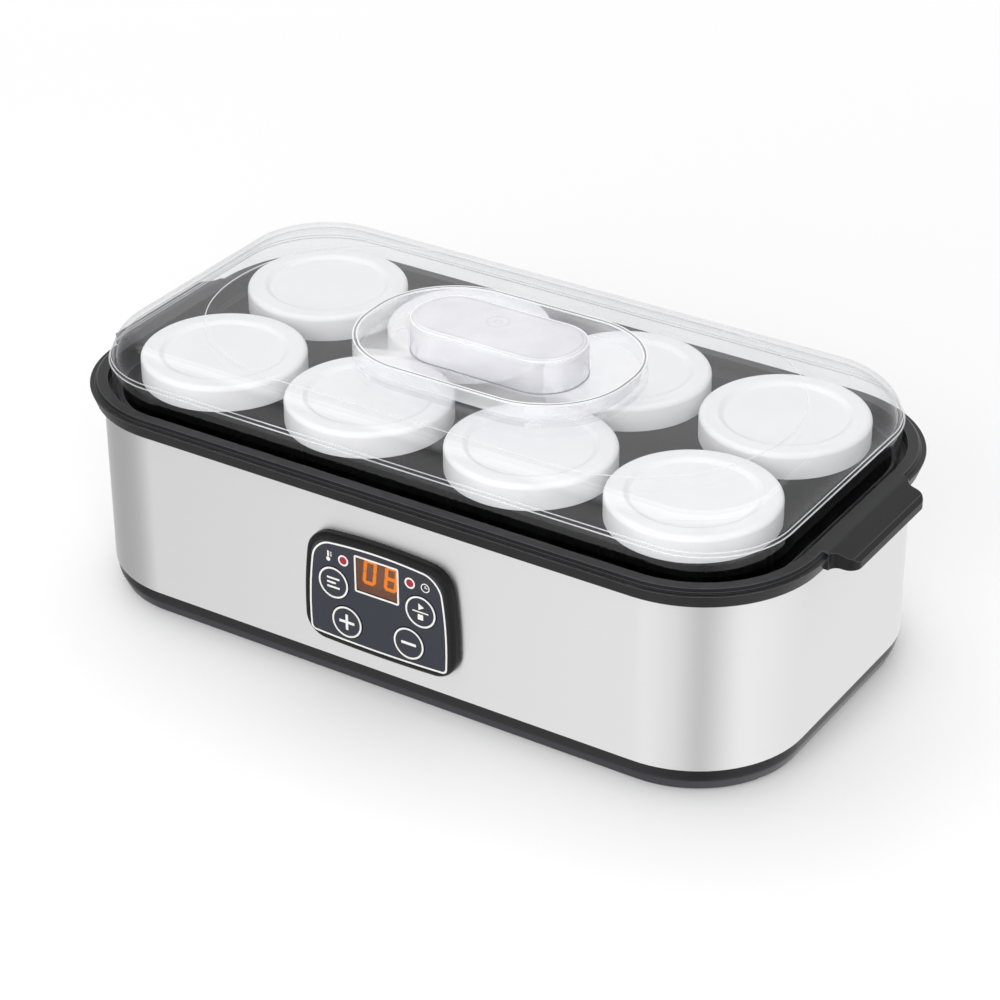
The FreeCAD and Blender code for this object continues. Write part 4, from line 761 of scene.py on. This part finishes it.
def frameLine():
    look = panel["frame"]
    piece = plate("panelLine", 2 * look["half"], look["high"] - look["low"], 0,
                  (look["high"] + look["low"]) / 2)
    edit(piece)
    split = (look["split"] + sleeveFoot) * mm
    pick(piece, "VERT", lambda point: point.co.z > split)
    bpy.ops.mesh.bevel(offset=look["upper"] * mm, segments=10, affect="VERTICES")
    pick(piece, "VERT", lambda point: point.co.z < split)
    bpy.ops.mesh.bevel(offset=look["lower"] * mm, segments=5, affect="VERTICES")
    pick(piece, "EDGE", lambda edge: edge.calc_length() > 10 * mm)
    bpy.ops.mesh.subdivide(number_cuts=24)
    done()
    for point in piece.data.vertices:      # the sides and ends bow as the bezel's do
        x, z = point.co.x / mm, point.co.z / mm - sleeveFoot
        share = (z - look["low"]) / (look["high"] - look["low"])
        side = 1 - (z - look["widest"]) ** 2 / (2 * look["sideRound"]) / look["half"]
        drop = x * x / 2 * (share / look["topRound"] - (1 - share) / look["bottomRound"])
        point.co.x, point.co.z = x * side * mm, (z - drop + sleeveFoot) * mm
    hollow(piece, look["line"])
    return inked(piece, "main_body")


frameLine()
look = panel["screen"]
border = plate("screenBorder", 2 * look["half"], look["high"] - look["low"], 0,
               (look["high"] + look["low"]) / 2, look["corner"])
hollow(border, look["line"])
inked(border, "main_body", depth=panel["screenInk"])

look = panel["lamp"]
for side, name in ((-1, "lampRingLeft"), (1, "lampRingRight")):
    ring = disc(name, look["outer"], side * look["column"], look["height"])
    hollow(ring, look["line"])
    inked(ring, "main_body")

keyPlaces, keyRing = {}, 0
for name in ("key_set", "key_start", "key_plus", "key_minus"):
    low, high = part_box(name)
    keyPlaces[name] = ((low.x + high.x) / 2 / mm, (low.z + high.z) / 2 / mm - sleeveFoot)
    keyRing = (high.x - low.x) / 2 / mm - panel["key"]["flange"]
ringModel = disc("ringModel", keyRing, 0, 0, keyFront)
hollow(ringModel, panel["key"]["line"])
for name, (x, z) in keyPlaces.items():
    ring = duplicate(ringModel, camel(name) + "Ring")
    ring.location = (x * mm, 0, z * mm)
    settle(ring)
    inked(ring, name)
bpy.data.objects.remove(ringModel)
print("panel lines drawn")


# generic signs: widths, heights and shifts from each sign's middle
sign = {"stroke": 1.2, "plus": 7.1, "minus": 6.9, "minusCorner": 0.3, "label": 22.7,
        "list": {"bar": (6.0, 0.85), "step": 2.0, "corner": 0.25, "shares": ((1, 1.0), (0, 0.7), (-1, 1.0))},
        "start": {"arrow": 1.75, "arrowUp": 2.35, "arrowSoft": 0.2, "line": (7.4, 0.55), "lineCorner": 0.2,
                  "block": 2.5, "blockDown": 2.25, "blockCorner": 0.3},
        "heat": {"bulb": 0.95, "bulbDown": 1.25, "stem": (0.8, 2.7), "stemUp": 1.2, "stemCorner": 0.39,
                 "tick": (0.9, 0.35), "tickAcross": 1.3, "tickCorner": 0.1, "tickRows": (0.4, 1.2, 2.0)},
        "clock": {"face": 2.0, "line": 0.42, "hand": (0.38, 1.25), "handUp": 0.435, "short": (0.85, 0.38),
                  "shortAcross": 0.63, "corner": 0.12}}


def plusSign(x, z):
    half, arm = sign["stroke"] / 2, (sign["plus"] - sign["stroke"]) / 2
    piece = plate("plusSign", sign["stroke"], sign["stroke"], x, z, y=keyFront)
    centre = Vector((x * mm, keyFront, (z + sleeveFoot) * mm))
    edit(piece)
    for way in (Vector((1, 0, 0)), Vector((-1, 0, 0)), Vector((0, 0, 1)), Vector((0, 0, -1))):
        pick(piece, "EDGE", lambda edge: (middle(edge) - centre).dot(way) > half * mm * 0.98
             and (middle(edge) - centre).length < half * mm * 1.1)
        bpy.ops.mesh.extrude_region_move(TRANSFORM_OT_translate={"value": way * arm * mm})
    done()
    return inked(piece, "key_plus")


def minusSign(x, z):
    bar = plate("minusSign", sign["minus"], sign["stroke"], x, z, sign["minusCorner"], keyFront)
    return inked(bar, "key_minus")


def listSign(x, z):
    look = sign["list"]
    width, height = look["bar"]
    bars = [plate("bar", width * share, height, x - width * (1 - share) / 2, z + look["step"] * row,
                  look["corner"], keyFront) for row, share in look["shares"]]
    return inked(gather("listSign", *bars), "key_set")


def startSign(x, z):
    look = sign["start"]
    up = z + look["arrowUp"]
    arrow = disc("arrow", look["arrow"], x, up, keyFront, 3)
    edit(arrow)
    bpy.ops.mesh.select_all(action="SELECT")
    bpy.ops.transform.rotate(value=math.radians(-90), orient_axis="Y",
                             center_override=(x * mm, keyFront, (up + sleeveFoot) * mm))
    bpy.ops.mesh.bevel(offset=look["arrowSoft"] * mm, segments=3, affect="VERTICES")
    done()
    line = plate("line", *look["line"], x, z, look["lineCorner"], keyFront)
    block = plate("block", look["block"], look["block"], x, z - look["blockDown"], look["blockCorner"],
                  keyFront)
    return inked(gather("startSign", arrow, line, block), "key_start")


def thermometerSign(x, z):
    look = sign["heat"]
    bulb = disc("bulb", look["bulb"], x, z - look["bulbDown"], sides=32)
    stem = plate("stem", *look["stem"], x, z + look["stemUp"], look["stemCorner"])
    ticks = [plate("tick", *look["tick"], x + look["tickAcross"], z + height, look["tickCorner"])
             for height in look["tickRows"]]
    return inked(gather("thermometerSign", bulb, stem, *ticks), "main_body")


def clockSign(x, z):
    look = sign["clock"]
    face = disc("face", look["face"], x, z, sides=48)
    hollow(face, look["line"])
    hand = plate("hand", *look["hand"], x, z + look["handUp"], look["corner"])
    short = plate("short", *look["short"], x + look["shortAcross"], z, look["corner"])
    return inked(gather("clockSign", face, hand, short), "main_body")


plusSign(*keyPlaces["key_plus"])
minusSign(*keyPlaces["key_minus"])
listSign(*keyPlaces["key_set"])
startSign(*keyPlaces["key_start"])
thermometerSign(-sign["label"], panel["lamp"]["height"])
clockSign(sign["label"], panel["lamp"]["height"])
print("signs drawn")


# the display: a sunk face with a painted glow, and two figures of seven bars
screen = {"well": 1.2, "border": 0.7, "height": 11.4, "width": 6.2, "stroke": 1.55, "pitch": 10.0,
          "middle": 45.5, "slant": 0.11, "gap": 0.12, "reach": 1.12, "point": 0.48, "ink": 0.1}
digitBars = {"0": "abcdef", "8": "abcdefg"}


def displayWell(piece):
    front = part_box("display_module")[0].y
    edit(piece)
    pick(piece, "FACE", lambda face: face.normal.y < -0.99 and abs(middle(face).y - front) < 1e-6)
    bpy.ops.mesh.inset(thickness=screen["border"] * mm, depth=-screen["well"] * mm)
    done()


def barModel():
    length = screen["height"] / 2 - screen["gap"]
    piece = plate("barModel", length, screen["stroke"], 0, -sleeveFoot, y=0)
    edit(piece)
    bpy.ops.mesh.select_all(action="SELECT")
    bpy.ops.mesh.bevel(offset=screen["stroke"] * screen["point"] * mm, segments=1, affect="VERTICES")
    bpy.ops.mesh.remove_doubles(threshold=0.05 * mm)
    done()
    return piece


def digit(name, figure, x, model):
    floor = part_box("display_module")[0].y + screen["well"] * mm
    half = (screen["height"] - screen["stroke"]) / 2
    quarter = half / 2
    side = (screen["width"] - screen["stroke"]) / 2
    places = {"a": (0, half, 0), "d": (0, -half, 0), "g": (0, 0, 0), "b": (side, quarter, 1),
              "c": (side, -quarter, 1), "e": (-side, -quarter, 1), "f": (-side, quarter, 1)}
    bars = []
    for letter in digitBars[figure]:
        across, up, upright = places[letter]
        bar = duplicate(model, "bar")
        length = half if upright else 2 * side
        share = (length - screen["gap"]) / (screen["height"] / 2 - screen["gap"])
        bar.scale = (share * screen["reach"], 1, 1)
        settle(bar)
        bar.rotation_euler = (0, math.pi / 2 * upright, 0)
        bar.location = (across * mm, 0, up * mm)
        bars.append(settle(bar))
    piece = gather(name, *bars)
    for point in piece.data.vertices:      # the figures lean a little
        point.co.x += point.co.z * screen["slant"]
    piece.location = (x * mm, floor, (screen["middle"] + sleeveFoot) * mm)
    settle(piece)
    return inked(piece, "main_body", orangeDigit, "display_case", screen["ink"])


refine("display_module", finishes["display_case"], "display_case", 0.0, 1, 30, None, displayWell)
model = barModel()
digit("digitLeft", "0", -screen["pitch"] / 2, model)
digit("digitRight", "8", screen["pitch"] / 2, model)
bpy.data.objects.remove(model)
print("display lit")


# the pieces inside keep their solids
innerSlots = {
    "tact_switches": "switch_plastic", "control_board": "circuit_board",
    "control_board_screws": "zinc_screws", "heater_plate": "aluminium_plate",
    "heater_strip": "silicone_heater", "heat_shield": "bright_sheet",
    "heat_shield_screws": "zinc_screws", "temperature_sensor": "sensor_capsule",
    "thermal_fuse": "sensor_capsule", "power_board": "circuit_board",
    "power_board_screws": "zinc_screws", "relay": "relay_case", "film_capacitor": "film_case",
    "storage_capacitor": "can_sleeve", "terminal_block": "terminal_plastic",
    "base_screws": "zinc_screws"}
for name, slot in innerSlots.items():
    node = nodes[name]
    node.data.materials.clear()
    node.data.materials.append(finishes[slot].material)
print("inner pieces finished")

deselect()
